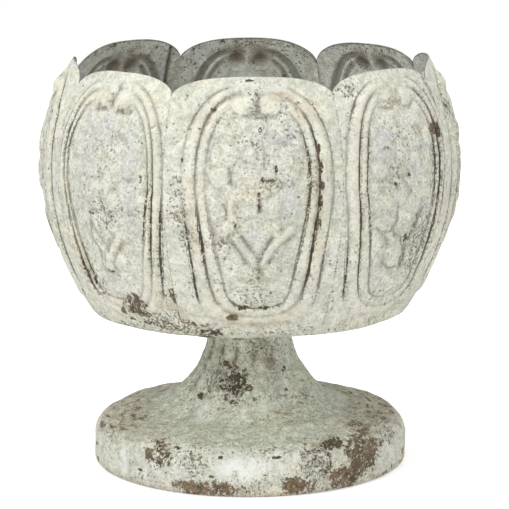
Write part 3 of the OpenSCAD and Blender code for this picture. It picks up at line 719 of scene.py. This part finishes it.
def petal(k):
    half = half_angle(k)
    middle = seam(k) + half
    x = np.linspace(-half + math.degrees(SEAM_GAP / BELLY_R),
                    half - math.degrees(STEP_W / BELLY_R), WALL_COLS)
    up = np.linspace(0, 1, WALL_ROWS)[:, None]
    z = HEEL_Z + (rim_z(k, x / half, middle + x)[None, :] - HEEL_Z) * up
    x = np.broadcast_to(x, z.shape)
    rise = (z - FRAME_Z) / np.where(z > FRAME_Z, GROOVE_LINE["up"], GROOVE_LINE["down"])
    swing = np.where(z > FRAME_Z, TOP_SWING[k], FOOT_SWING[k]) * np.clip(np.abs(rise), 0, 1.1) ** 2
    worn_flowers = 0.8 + 0.3 * waves(around(middle + x, wall_r(z), z), 77, 22)
    # The frames of the back petals stand a little higher, with the rim
    drop = RIM_SLANT * (1 - math.cos(math.radians(middle))) * smooth(z, FRAME_Z, TIP_Z)
    h, beads, lines, shown = relief(x - FRAME_STRAY[k] - swing, z - drop, k, worn_flowers)
    h = rubbed_flat(h, middle + x, z)
    lap_x, lap_z = lap_grid(k, up)

    def with_lap(values, lap_value=0.0):
        return np.concatenate([values, np.full(lap_z.shape, float(lap_value))], axis=1)

    bend, field = with_lap(hollows(h)), with_lap(smooth(-lines[1], -1, 3))
    beads, shown = with_lap(beads), with_lap(shown)
    lines = [with_lap(line, FAR) for line in lines]
    h = with_lap(h, -SHEET_T - SOLDER_GAP)
    x = np.concatenate([x, lap_x], axis=1)
    z = np.concatenate([z, lap_z], axis=1)
    phi = x + middle
    place = around(phi, wall_r(z), z)
    h = h + hammered(place, phi, z)
    nets = [petal_side(phi, z, h + side * SHEET_T / 2) for side in (1, -1)]
    outside, inside = petal_marks(k, x, z, place, lines, shown, beads, bend, field)
    name = PETAL_NAMES[k]
    return sheet_piece("petal_shell_" + name, "petal_" + name, "bowl_paint", bowl_paint, *nets,
                       over_flange(outside), over_flange(inside))


def beside(line, d):
    """A line of radius and height points, moved sideways by d."""
    way = np.gradient(line, axis=0)
    way /= np.linalg.norm(way, axis=1)[:, None]
    return line + d * np.stack([-way[:, 1], way[:, 0]], axis=1)


def turned(line, columns, turn=0.0):
    """A line of radius and height points, turned round the axis: angles, radii and heights."""
    phi = turn + np.arange(columns) * 360 / columns
    r = np.repeat(line[:, :1], columns, axis=1)
    z = np.repeat(line[:, 1:], columns, axis=1)
    return np.broadcast_to(phi, r.shape), r, z


def along_surface(places, radius):
    """Places given by angle, as places given by millimetres along the surface, whose radius
    is known at each height."""
    return [(math.radians(place[0]) * radius(place[1]),) + place[1:] for place in places]


# The marks on the inside of the stem and of the base
FOOT_INSIDE = {"green": 1.0, "worn": 0.3, "dark": 0.5, "specks": 0.2, "within": 1.0}


def stem():
    foot_z, head_z = BASE_H + FOOT_T / 2, BOWL_BOTTOM_Z - FOOT_T / 2
    a = np.linspace(0, math.pi / 2, FLARE_STEPS)
    flare = np.stack([STEM_FOOT_R - (STEM_FOOT_R - NECK_R) * np.sin(a) ** (2 / FLARE_SQUARE),
                      NECK_Z - (NECK_Z - foot_z) * np.cos(a) ** (2 / FLARE_SQUARE)], axis=1)
    head = np.stack([np.linspace(NECK_R, HEAD_R, HEAD_STEPS)[1:],
                     np.linspace(NECK_Z, head_z, HEAD_STEPS)[1:]], axis=1)
    line = np.concatenate([flare, head])
    columns = FLUTES * FLUTE_COLS
    phi, r, z = turned(line, columns, FLUTE_TURN)
    front = from_front(phi)
    share = np.cos(np.clip((z - foot_z) / (NECK_Z - foot_z), 0, 1) * math.pi / 2) ** 0.8
    lean = 5.0 * np.sin(np.radians(phi * 3 + 40)) * (1 - share)
    place = (phi - FLUTE_TURN + lean) * FLUTES / 360
    # The flutes are pressed deeper on the left of the front than on the right, and their painted
    # shade and highlights are stronger there
    crisp = 0.38 + 0.62 * np.exp(-(np.abs(from_front(phi + 50)) / 48) ** 4)
    valley = (1 - np.abs(np.cos(math.pi * place))) * crisp
    fine = (1 - np.abs(np.cos(2 * math.pi * place + 0.8))) * crisp
    mid = 1 - np.abs(2 * share - 1)
    fall = -FLUTE_DEPTH * share * valley - FINE_FLUTE_DEPTH * fine * mid * (z < NECK_Z)
    toe = smooth(r, STEM_FOOT_R - 9.0, STEM_FOOT_R) * (z < foot_z + 3)
    net = around(phi, r, z)
    lumps = lumpy(net, (0.34, 5, 16), (0.30, 6, 34), (0.10, 8, 6))
    lumps *= smooth(z, foot_z, foot_z + 4) * (1 - smooth(z, head_z - 8, head_z - 2))
    nets = []
    for side in (-1, 1):
        # The toe is hammered thin on the crown of the base
        thick = side * FOOT_T / 2 * (1 - 1.8 * toe[:, 0] * (side < 0))
        moved = beside(line, thick[:, None])
        _, mr, mz = turned(moved, columns, FLUTE_TURN)
        nets.append(around(phi, mr + (fall + lumps) * (1 - toe), mz))

    def radius(height):
        return np.interp(height, flare[:, 1], flare[:, 0])

    along = np.radians(front) * r
    worn, dark = worn_places(along, z, along_surface(STEM_WEAR, radius))
    white = soft_places(along, z, along_surface(STEM_WHITE, radius))
    # Painted highlights on the flute ridges, with the rubbed paint
    white = np.maximum(white, 0.5 * (1 - valley) ** 3 * crisp * mid)
    # Painted shade with grime in the flute valleys
    streak = valley ** 2 * (0.35 + 0.65 * mid) + 0.4 * fine * mid
    soil = 0.9 * bell(front + 22, 26) * bell(z - 49, 9)
    soil += 0.9 * bell(front - 10, 34) * smooth(z, 50, 66)
    soil += 0.35 * bell(front + 60, 30) * bell(z - 45, 14) + 0.12
    olive = 0.35 * bell(front - 18, 26) * smooth(z, 44, 62) + 0.5 * bell(front - 28, 16) * share
    return sheet_piece("fluted_stem", "stem", "stem_paint", stem_paint, *nets, {
        "hollow": np.clip(1.1 * streak, 0, 1), "green": 1.0, "streak": np.clip(olive, 0, 1),
        "white": white, "worn": worn, "dark": dark, "stain": 0.25 * crisp * mid,
        "specks": np.clip(soil, 0, 1)}, FOOT_INSIDE, wrap=True)


def base():
    outer_r = BASE_R - FOOT_T / 2
    edge_r, bend_r = outer_r - EDGE_BEND, outer_r - SHOULDER_BEND
    top_z = BASE_H - FOOT_T / 2
    turn = math.radians(90 - TOP_FALL)
    bend_z = (top_z - (bend_r + SHOULDER_BEND * math.cos(turn) - CROWN_R)
              * math.tan(math.radians(TOP_FALL)) - SHOULDER_BEND * math.sin(turn))

    def arc(centre, r, low, high, steps):
        a = np.linspace(low, high, steps)
        return np.stack([centre[0] + r * np.cos(a), centre[1] + r * np.sin(a)], axis=1)

    def run(low, high, steps):
        return np.linspace(low, high, steps + 2)[1:-1]

    rest = np.stack([np.linspace(edge_r - REST_W, edge_r, 5), np.full(5, FOOT_T / 2)], axis=1)
    edge = arc((edge_r, EDGE_BEND + FOOT_T / 2), EDGE_BEND, -math.pi / 2, 0, 8)[1:]
    shoulder = arc((bend_r, bend_z), SHOULDER_BEND, 0, turn, 26)
    crown = np.array([[CROWN_R, top_z], [HOLE_R, top_z]])
    line = np.concatenate([rest, edge, run(edge[-1], shoulder[0], 12), shoulder,
                           run(shoulder[-1], crown[0], 20), crown[:1],
                           run(crown[0], crown[1], 14), crown[1:]])
    phi, r, z = turned(line, BASE_COLS)
    front = from_front(phi)
    net = around(phi, r, z)
    lumps = lumpy(net, (0.30, 21, 60), (0.18, 22, 14), (0.06, 24, 6))
    lumps *= smooth(r, CROWN_R, CROWN_R + 6) * smooth(z, FOOT_T, FOOT_T + 3)
    nets = []
    for side in (-1, 1):
        moved = beside(line, side * FOOT_T / 2)
        _, mr, mz = turned(moved, BASE_COLS)
        nets.append(around(phi, mr + lumps, mz + lumps * smooth(z, 18, 24)))
    along = np.radians(front) * np.maximum(r, 60)
    low_edge = (1 - smooth(z, 2.0, 6.5)) * (r > edge_r - 1)
    back = smooth(np.abs(front), 60, 100)

    def radius(height):
        return BASE_R

    worn, dark = worn_places(along, z, along_surface(BASE_WEAR, radius))
    worn = np.maximum(worn, low_edge * (0.36 + 0.20 * waves(net, 31, 40)))
    for x, height, wide, tall, strength, _ in scattered_wear(91, 26, 1.0, 3, 26):
        aside = np.radians(from_front(front - from_front(180 + 118 * x))) * BASE_R
        near = nearness(aside, z, (0, height, 2 * wide, tall), 0.5, 1.6)
        worn = np.maximum(worn, strength * near)
    white = soft_places(along, z, along_surface(BASE_WHITE, radius))
    white = np.maximum(white, 0.5 * smooth(waves(net, 33, 34), 0.2, 1.0) * (z < 24) * back)
    # Green paint runs from the stem over the trough, and brown streaks show beside it
    ragged = lumpy(net, (1.6, 35, 9), (2.0, 36, 26))
    green = (1 - smooth(r + ragged, 77.5, 81.0)) * (z > 20)
    beside_left = bell(from_front(front + 78), 30) * smooth(r, 58, 64)
    beside_right = bell(from_front(front - 84), 34) * smooth(r, 56, 61)
    streak = np.clip((1.1 * beside_left + 1.1 * beside_right + 0.8 * back)
                     * (1 - smooth(r + ragged, 80, 85)) * (z > 18), 0, 1)
    green = green * (1 - 0.6 * streak)
    return sheet_piece("round_base", "base", "base_paint", base_paint, *nets, {
        "hollow": 0.0, "green": green, "streak": streak, "white": white, "worn": worn,
        "dark": dark, "stain": np.clip(low_edge * 0.5 + 0.25 * streak, 0, 1),
        "specks": soft_places(along, z, along_surface(BASE_SPECKS, radius))},
        FOOT_INSIDE, wrap=True)


# ---- Finishes ----

class Nodes:
    """Short words for wiring shader nodes."""

    def __init__(self, tree):
        self.tree = tree

    def add(self, kind, **values):
        node = self.tree.nodes.new(kind)
        for key, value in values.items():
            setattr(node, key, value)
        return node

    def wire(self, source, target):
        if isinstance(source, (int, float)):
            target.default_value = source
        elif isinstance(source, (tuple, list)):
            target.default_value = tuple(source)
        else:
            self.tree.links.new(source, target)

    def feed(self, node, **values):
        """Wires or sets a node's inputs, named with _ for a space."""
        for name, value in values.items():
            self.wire(value, node.inputs[name.replace("_", " ")])

    def noise(self, place, scale, detail, rough, warp=0.0, layer=0.0):
        node = self.add("ShaderNodeTexNoise", noise_dimensions="4D")
        self.feed(node, Vector=place, W=layer, Scale=scale, Detail=detail, Roughness=rough,
                  Distortion=warp)
        return node.outputs[0]

    def math(self, how, a, b=0.0, c=0.0):
        node = self.add("ShaderNodeMath", operation=how)
        for socket, value in zip(node.inputs, (a, b, c)):
            self.wire(value, socket)
        return node.outputs[0]

    def line(self, value, slope, start):
        """value times slope, plus start."""
        return self.math("MULTIPLY_ADD", value, slope, start)

    def times(self, *factors):
        total = factors[0]
        for factor in factors[1:]:
            total = self.math("MULTIPLY", total, factor)
        return total

    def step(self, value, low, high, out_low=0.0, out_high=1.0):
        node = self.add("ShaderNodeMapRange", interpolation_type="SMOOTHSTEP")
        self.feed(node, Value=value, From_Min=low, From_Max=high, To_Min=out_low,
                  To_Max=out_high)
        return node.outputs[0]

    def patches(self, place, low, high, *noise):
        """Noise, as 0 where it is below low and 1 where it is above high."""
        return self.step(self.noise(place, *noise), low, high)

    def mix(self, factor, a, b, how="MIX"):
        node = self.add("ShaderNodeMix", data_type="RGBA", blend_type=how)
        self.wire(factor, node.inputs[0])
        self.wire(a, node.inputs[6])
        self.wire(b, node.inputs[7])
        return node.outputs[2]

    def dots(self, place, scale, size, share):
        """Round dots of random size, on a share of the cells."""
        node = self.add("ShaderNodeTexVoronoi")
        self.feed(node, Vector=place, Scale=scale)
        chance = self.add("ShaderNodeSeparateColor")
        self.wire(node.outputs["Color"], chance.inputs[0])
        reach = self.math("MULTIPLY", size, self.math("ADD", chance.outputs[1], 0.4))
        dot = self.step(self.math("SUBTRACT", reach, node.outputs["Distance"]), 0.0, 0.10)
        return self.math("MULTIPLY", dot, self.math("LESS_THAN", chance.outputs[0], share))


def colour(r, g, b):
    """A colour as the eye reads it, 0 to 255, in the light's own scale."""
    def one(v):
        v /= 255
        return v / 12.92 if v <= 0.04045 else ((v + 0.055) / 1.055) ** 2.4
    return (one(r), one(g), one(b), 1.0)


FLOAT, COLOR, VECTOR = "NodeSocketFloat", "NodeSocketColor", "NodeSocketVector"


def new_group(name, inputs, outputs):
    tree = bpy.data.node_groups.new(name, "ShaderNodeTree")
    for label, value in inputs.items():
        kind = VECTOR if label == "Place" else COLOR if isinstance(value, tuple) else FLOAT
        socket = tree.interface.new_socket(label, in_out="INPUT", socket_type=kind)
        if kind != VECTOR:
            socket.default_value = value
    for label in outputs:
        tree.interface.new_socket(label, in_out="OUTPUT",
                                  socket_type=COLOR if label == "Color" else FLOAT)
    n = Nodes(tree)
    return tree, n, n.add("NodeGroupInput").outputs, n.add("NodeGroupOutput").inputs


GREY = (0.5, 0.5, 0.5, 1.0)


def make_chalky_paint():
    """Thin lime paint: cloudy tones, a sandy grain and small dark specks in drifts."""
    tree, n, given, out = new_group("chalky_paint", {
        "Place": None, "Paint": GREY, "Cool tone": GREY, "Green tone": GREY, "Warm tone": GREY,
        "Shade": GREY, "Speck colour": GREY, "Specks": 0.5, "Soil": 0.0, "Field": 0.0,
        "Cool": 0.0}, ["Color", "Height"])
    place = given["Place"]
    tone = n.mix(n.patches(place, 0.38, 0.66, 30, 4, 0.62, 0.5), given["Paint"],
                 given["Green tone"])
    warm = n.patches(place, 0.53, 0.67, 64, 4, 0.6, 0.3, 6.0)
    tone = n.mix(n.times(warm, 0.7), tone, given["Warm tone"])
    cool = n.patches(place, 0.46, 0.62, 46, 4, 0.64, 0.4, 4.0)
    cool = n.times(cool, n.line(given["Field"], 0.15, 0.25))
    patch = n.patches(place, 0.38, 0.58, 130, 5, 0.66, 0.3, 5.0)
    cool = n.math("MAXIMUM", cool, n.times(given["Cool"], patch, 0.85))
    tone = n.mix(cool, tone, given["Cool tone"])
    mottle = n.noise(place, 240, 5, 0.68, 0.3, 2.0)
    tone = n.mix(n.step(mottle, 0.36, 0.68, 0, 0.62), tone, given["Shade"])
    grain = n.noise(place, 760, 3, 0.75, 0.2, 1.0)
    rough = n.line(given["Field"], 0.30, 0.48)
    tone = n.mix(n.times(n.step(grain, 0.48, 0.64), rough), tone, given["Shade"])
    tone = n.mix(n.times(n.step(grain, 0.46, 0.34), rough, 0.5), tone, (0.89, 0.89, 0.84, 1.0))
    drift = n.patches(place, 0.42, 0.64, 58, 5, 0.68, 0.3, 7.0)
    amount = n.times(given["Specks"], n.line(drift, 0.62, 0.10))
    amount = n.math("MINIMUM", n.math("ADD", amount, given["Soil"]), 1.05)
    limit = n.line(amount, -0.15, 0.665)
    speck = n.step(n.math("SUBTRACT", n.noise(place, 600, 4, 0.72, 0.0, 3.0), limit), 0.0, 0.04)
    dot = n.times(n.dots(place, 560, 0.30, n.times(amount, 0.32)), 0.95)
    speck = n.math("MAXIMUM", speck, dot)
    tone = n.mix(n.times(speck, 0.78), tone, given["Speck colour"])
    height = n.line(grain, 0.45, n.times(mottle, 0.55))
    height = n.line(speck, -0.3, height)
    n.wire(tone, out["Color"])
    n.wire(height, out["Height"])
    return tree


def make_scribed_line():
    """Dirt along a pressed line: a broken core of changing width, with specks beside it, from
    the distance to the line in millimetres."""
    tree, n, given, out = new_group("scribed_line", {
        "Place": None, "Distance": FAR, "Width": 0.4, "Breaks": 0.5, "Strength": 1.0}, ["Mask"])
    place = given["Place"]
    wander = n.line(n.noise(place, 150, 3, 0.6, 0.0, 5.0), 1.4, -0.7)
    away = n.math("ABSOLUTE", n.math("ADD", given["Distance"], wander))
    thick = n.times(given["Width"], n.line(n.noise(place, 120, 4, 0.7, 0.0, 6.0), 2.6, -0.3))
    line = n.step(n.math("DIVIDE", away, thick), 1.4, 0.7)
    gaps = n.line(n.noise(place, 900, 3, 0.7, 0.3, 8.0), 0.6,
                  n.times(n.noise(place, 170, 4, 0.7, 0.0, 2.0), 0.4))
    kept = n.step(n.math("SUBTRACT", gaps, n.line(given["Breaks"], 0.24, 0.37)), -0.03, 0.03)
    near = n.step(n.math("DIVIDE", away, given["Width"]), 4.5, 1.0)
    specks = n.times(near, n.patches(place, 0.54, 0.60, 760, 3, 0.65, 0.0, 9.0), 0.9)
    mask = n.math("MAXIMUM", n.times(line, kept), specks)
    n.wire(n.times(mask, given["Strength"]), out["Mask"])
    return tree


def make_wear():
    """Grime with painted shade in the hollows, warm stains, and ragged chips down to rusty sheet
    with a pale rim.
    """
    tree, n, given, out = new_group("wear_and_grime", {
        "Place": None, "Color": GREY, "Height": 0.5, "Grime colour": GREY, "Primer": GREY,
        "Rust": GREY, "Ochre": GREY, "Dark rust": GREY, "Stain colour": GREY, "Hollow": 0.0,
        "Worn": 0.0, "Dark": 0.0, "Stain": 0.0, "Chips": 0.0}, ["Color", "Height", "Bare"])
    place = given["Place"]
    broken = n.noise(place, 260, 4, 0.7, 0.5)
    stain = n.times(given["Stain"], n.patches(place, 0.36, 0.60, 170, 5, 0.72, 0.3, 2.0))
    tone = n.mix(n.times(stain, 0.8), given["Color"], given["Stain colour"], "MULTIPLY")
    # The Hollow input lays painted shade together with grime, in the Grime colour
    shade_and_grime = n.times(given["Hollow"], 0.9, n.step(broken, 0.36, 0.60, 0.15, 1.0))
    tone = n.mix(n.math("MINIMUM", shade_and_grime, 0.85), tone, given["Grime colour"])
    flake = n.line(n.noise(place, 560, 4, 0.75, 0.3, 3.0), 0.58,
                   n.line(n.noise(place, 190, 5, 0.7, 0.3, 9.0), 0.36,
                          n.times(n.noise(place, 75, 5, 0.66, 0.3), 0.06)))
    depth = n.line(given["Worn"], 0.20, n.math("ADD", flake, given["Chips"]))
    bare = n.step(depth, 0.628, 0.652)
    primer = n.step(depth, 0.585, 0.640)
    dark = n.math("ADD", n.noise(place, 420, 5, 0.74), n.line(given["Dark"], 0.34, -0.06))
    dark = n.step(dark, 0.42, 0.58)
    ochre = n.times(n.patches(place, 0.47, 0.57, 420, 5, 0.74, 0.3, 6.0), 0.8)
    rust = n.mix(n.times(ochre, n.math("SUBTRACT", 1.0, given["Dark"])), given["Rust"],
                 given["Ochre"])
    rust = n.mix(dark, rust, given["Dark rust"])
    tone = n.mix(n.times(primer, 0.5), tone, given["Primer"])
    tone = n.mix(n.times(bare, 0.92), tone, rust)
    n.wire(tone, out["Color"])
    n.wire(n.line(bare, -0.8, given["Height"]), out["Height"])
    n.wire(bare, out["Bare"])
    return tree


CHALKY_PAINT = make_chalky_paint()
SCRIBED_LINE = make_scribed_line()
WEAR = make_wear()


def use_group(n, group, **values):
    node = n.add("ShaderNodeGroup", node_tree=group)
    n.feed(node, **values)
    return node.outputs


def mark(n, name):
    """One of the values that the mesh carries at each of its points."""
    return n.add("ShaderNodeAttribute", attribute_name=name).outputs["Fac"]


def new_finish(name):
    material = bpy.data.materials.new(name)
    material.use_nodes = True
    n = Nodes(material.node_tree)
    return (material, n, material.node_tree.nodes["Principled BSDF"],
            n.add("ShaderNodeTexCoord").outputs["Object"])


def paint_coat(n, place, tones, specks, speck=(98, 91, 72), soil=0.0, field=0.0, blue=0.0):
    """Chalky paint, from its tones, its share of specks and their colour."""
    paint, cool, green, warm, shade = (colour(*tone) for tone in tones)
    return use_group(n, CHALKY_PAINT, Place=place, Paint=paint, Cool_tone=cool, Green_tone=green,
                     Warm_tone=warm, Shade=shade, Speck_colour=colour(*speck), Specks=specks,
                     Soil=soil, Field=field, Cool=blue)


def worn_coat(n, place, tone, height, hollow, grime_and_shade_colour):
    """The wear of a painted piece, from its marks, with painted shade and grime in its hollows."""
    return use_group(n, WEAR, Place=place, Color=tone, Height=height, Grime_colour=colour(*grime_and_shade_colour),
                     Primer=colour(196, 182, 158), Rust=colour(104, 84, 62),
                     Ochre=colour(150, 122, 88), Dark_rust=colour(56, 50, 38),
                     Stain_colour=colour(216, 200, 182), Hollow=hollow, Worn=mark(n, "worn"),
                     Dark=mark(n, "dark"), Stain=mark(n, "stain"))


def add_bump(n, shader, height, strength, distance):
    bump = n.add("ShaderNodeBump")
    n.feed(bump, Strength=strength, Distance=distance, Height=height)
    n.feed(shader, Normal=bump.outputs["Normal"])


def tinted(n, tone, name, share, tint):
    """The tone, with a share of the tint laid over it where the named mark is."""
    return n.mix(n.times(mark(n, name), share), tone, colour(*tint))


def finish_surface(n, shader, coat, grain_depth):
    n.feed(shader, Base_Color=coat["Color"], Roughness=n.line(coat["Bare"], -0.14, 0.88),
           Specular_IOR_Level=0.25)
    add_bump(n, shader, coat["Height"], 0.8, grain_depth)


# Each paint's plain, cool, green and warm tones and its shade
CREAM = ((232, 232, 218), (208, 208, 214), (214, 217, 200), (238, 230, 206), (164, 163, 146))
# The same cream inside the bowl, painted lighter as a stand-in for light the inside does not get
LIGHTENED_INSIDE_PAINT = ((244, 246, 242), (222, 226, 232), (232, 235, 222), (230, 222, 204), (158, 158, 150))
STEM_GREEN = ((226, 229, 212), (206, 210, 207), (210, 215, 194), (228, 220, 196), (140, 140, 118))
LINE_DIRT = (64, 57, 44)
# Each pressed line's width, how broken its dirt is, and how strong
LINES = {"groove": (0.52, 0.18, 0.95), "inner": (0.54, 0.32, 0.95), "outer": (0.56, 0.30, 0.95)}


def chalky_bowl_paint():
    material, n, shader, place = new_finish("chalky_bowl_paint")
    within, line_dirt = mark(n, "within"), colour(*LINE_DIRT)
    coat = paint_coat(n, place, CREAM, 0.85, (90, 83, 66), n.times(mark(n, "specks"), 0.85),
                      mark(n, "field"), mark(n, "cool"))
    # A painted highlight with a pinkish tint on the bead crests
    proud = n.times(mark(n, "proud"), n.patches(place, 0.42, 0.6, 60, 4, 0.6, 0.0, 9.0))
    tone = n.mix(n.times(proud, 0.35), coat["Color"], colour(228, 216, 202))
    tone = tinted(n, tone, "pale", 0.45, (234, 232, 206))
    for name, (width, breaks, strength) in LINES.items():
        line = use_group(n, SCRIBED_LINE, Place=place, Distance=mark(n, name), Width=width,
                         Breaks=breaks, Strength=n.times(mark(n, "shown"), strength))
        tone = n.mix(line["Mask"], tone, line_dirt)
    folds = n.patches(place, 0.40, 0.54, 620, 3, 0.7, 0.0, 4.0)
    folds = n.times(mark(n, "crease"), n.line(folds, 0.75, 0.2))
    tone = n.mix(n.times(folds, 0.9), tone, line_dirt)
    seam_line = use_group(n, SCRIBED_LINE, Place=place, Distance=mark(n, "seam"), Width=0.22,
                          Breaks=0.7, Strength=0.45)
    tone = n.mix(seam_line["Mask"], tone, line_dirt)
    lightened_inside_coat = paint_coat(n, place, LIGHTENED_INSIDE_PAINT, 1.0, (72, 66, 52), 0.16)
    # Inside: a painted highlight along the groove's ridge, painted shade with grime in the backs of
    # the beads, and painted shade with brown grime behind the scrolls
    inside = tinted(n, lightened_inside_coat["Color"], "proud", 0.6, (226, 226, 214))
    inside = tinted(n, inside, "hollow", 0.62, (104, 99, 84))
    inside = tinted(n, inside, "rust_tint", 0.7, (110, 92, 76))
    tone = n.mix(within, tone, inside)
    # The dark bare top edge of the sheet, and inside a painted shadow with grime along the lap's
    # edge
    tone = tinted(n, tone, "edge", 0.9, (58, 54, 46))
    # Painted shade with grime in the hollows of the outside, weaker on the inside
    hollow = n.times(mark(n, "hollow"), n.line(within, -0.8, 1.0))
    worn = worn_coat(n, place, tone, coat["Height"], hollow, (118, 112, 94))
    finish_surface(n, shader, worn, 0.6 * MM)
    return material


def foot_paint(name, green_specks):
    """The stem's and the base's finish: green-grey paint, cream paint and brown streaks."""
    material, n, shader, place = new_finish(name)
    soil = n.times(mark(n, "specks"), 0.8)
    cream = paint_coat(n, place, CREAM, 0.9, soil=soil, field=0.5)
    green = paint_coat(n, place, STEM_GREEN, green_specks, (92, 88, 66), soil, 0.8)
    tone = n.mix(mark(n, "green"), cream["Color"], green["Color"])
    # Bright rubbed paint, and on the stem also painted highlights on the flute ridges
    white = n.times(mark(n, "white"), n.patches(place, 0.38, 0.55, 150, 5, 0.68, 0.0, 5.0))
    tone = n.mix(n.times(white, 0.85), tone, colour(238, 240, 234))
    # Brush marks run round the base, so they change fast with the radius and slowly along it
    parts = n.add("ShaderNodeSeparateXYZ")
    n.wire(place, parts.inputs[0])
    x, y, _ = parts.outputs
    radius = n.math("SQRT", n.math("ADD", n.times(x, x), n.times(y, y)))
    swept = n.add("ShaderNodeCombineXYZ")
    for socket, value in zip(swept.inputs, (n.times(x, 0.4), n.times(y, 0.4), radius)):
        n.wire(value, socket)
    brushed = n.noise(swept.outputs[0], 300, 6, 0.74, 0.6)
    streak = n.times(mark(n, "streak"), n.step(brushed, 0.40, 0.56))
    tone = n.mix(n.times(streak, 0.62), tone, colour(164, 151, 128))
    streak = n.times(mark(n, "streak"), n.step(brushed, 0.53, 0.59))
    tone = n.mix(n.times(streak, 0.85), tone, colour(86, 74, 56))
    tone = tinted(n, tone, "within", 0.7, (112, 106, 92))
    worn = worn_coat(n, place, tone, green["Height"], mark(n, "hollow"), (102, 96, 74))
    finish_surface(n, shader, worn, 0.8 * MM)
    return material


def grey_floor_wash():
    material, n, shader, place = new_finish("grey_floor_wash")
    # The bowl's floor takes the cream that is painted lighter inside the bowl
    coat = paint_coat(n, place, LIGHTENED_INSIDE_PAINT, 1.0, (80, 75, 60))
    worn = use_group(n, WEAR, Place=place, Color=coat["Color"], Height=coat["Height"],
                     Primer=colour(160, 152, 134), Rust=colour(112, 92, 72),
                     Ochre=colour(130, 108, 80), Dark_rust=colour(70, 60, 44), Chips=0.03)
    finish_surface(n, shader, worn, 0.6 * MM)
    return material


def dull_zinc_steel():
    material, n, shader, place = new_finish("dull_zinc_steel")
    spangle = n.noise(place, 260, 4, 0.6)
    rust = n.patches(place, 0.5, 0.66, 120, 6, 0.7)
    tone = n.mix(spangle, colour(150, 150, 146), colour(118, 118, 112))
    n.feed(shader, Base_Color=n.mix(rust, tone, colour(120, 88, 60)),
           Metallic=n.step(rust, 0, 1, 0.9, 0.1), Roughness=n.step(rust, 0, 1, 0.42, 0.85))
    add_bump(n, shader, spangle, 0.4, 0.4 * MM)
    return material


bowl_paint = chalky_bowl_paint()
stem_paint = foot_paint("greenish_stem_paint", 1.0)
base_paint = foot_paint("worn_base_paint", 0.9)
floor_wash = grey_floor_wash()
bolt_steel = dull_zinc_steel()

for number in range(PETALS):
    petal(number)
stem()
base()

for node, finish in (("bowl_floor", floor_wash), ("clamp_bolt", bolt_steel),
                     ("washers", bolt_steel), ("nut", bolt_steel)):
    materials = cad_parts[node].data.materials
    materials.clear()
    materials.append(finish)


# ---- Studio ----

SKY_LIGHT, PAPER_WHITE, PAPER_GLOW = 0.60, 0.86, 0.46


def seen_directly(n):
    """1 for rays from the camera and for reflected and transmitted ones."""
    rays = n.add("ShaderNodeLightPath").outputs
    return n.math("MAXIMUM", rays["Is Camera Ray"],
                  n.math("MAXIMUM", rays["Is Glossy Ray"], rays["Is Transmission Ray"]))


def studio():
    scene = bpy.context.scene
    scene.view_settings.view_transform = "Standard"
    world = bpy.data.worlds.new("studio_world")
    scene.world = world
    world.use_nodes = True
    n = Nodes(world.node_tree)
    n.feed(world.node_tree.nodes["Background"], Color=(1, 1, 1, 1),
           Strength=n.step(seen_directly(n), 0, 1, SKY_LIGHT, 1.0))

    bpy.ops.mesh.primitive_plane_add(size=12)
    floor = bpy.context.object
    floor.name = "studio_floor"
    material, m, shader, _ = new_finish("white_paper")
    m.feed(shader, Base_Color=(PAPER_WHITE, PAPER_WHITE, PAPER_WHITE, 1), Roughness=1.0,
           Specular_IOR_Level=0.0, Emission_Color=(1, 1, 1, 1),
           Emission_Strength=m.times(seen_directly(m), PAPER_GLOW))
    floor.data.materials.append(material)

    def lamp(name, where, size, power, aim=(0, 0, 0.12)):
        data = bpy.data.lights.new(name, "AREA")
        data.shape = "SQUARE"
        data.size = size
        data.energy = power
        obj = bpy.data.objects.new(name, data)
        obj.location = where
        obj.rotation_euler = (Vector(aim) - Vector(where)).to_track_quat("-Z", "Y").to_euler()
        scene.collection.objects.link(obj)

    lamp("window_left", (-1.2, -1.1, 1.2), size=0.6, power=13)
    lamp("fill_right", (1.5, -0.9, 0.6), size=1.2, power=4)
    lamp("low_front_fill", (0.2, -1.8, 0.05), size=0.8, power=7, aim=(0, 0, 0.08))
    lamp("top_light", (0.1, 0.0, 1.8), size=0.9, power=10)


def camera():
    """The camera that the photograph's outline gives: distance and aim in metres."""
    data = bpy.data.cameras.new("camera")
    data.sensor_width, data.lens = 36, 163.7
    data.clip_start, data.clip_end = 0.05, 50
    obj = bpy.data.objects.new("camera", data)
    lift, roll, away = math.radians(10.473), -0.0043, 1.27254
    aim_x, aim_z = 0.00284, 0.113564
    obj.location = Vector((aim_x, -away * math.cos(lift), aim_z + away * math.sin(lift)))
    obj.rotation_euler = (Matrix.Rotation(math.pi / 2 - lift, 3, "X")
                          @ Matrix.Rotation(roll, 3, "Z")).to_euler()
    bpy.context.scene.collection.objects.link(obj)
    bpy.context.scene.camera = obj


studio()
camera()

bpy.context.view_layer.update()
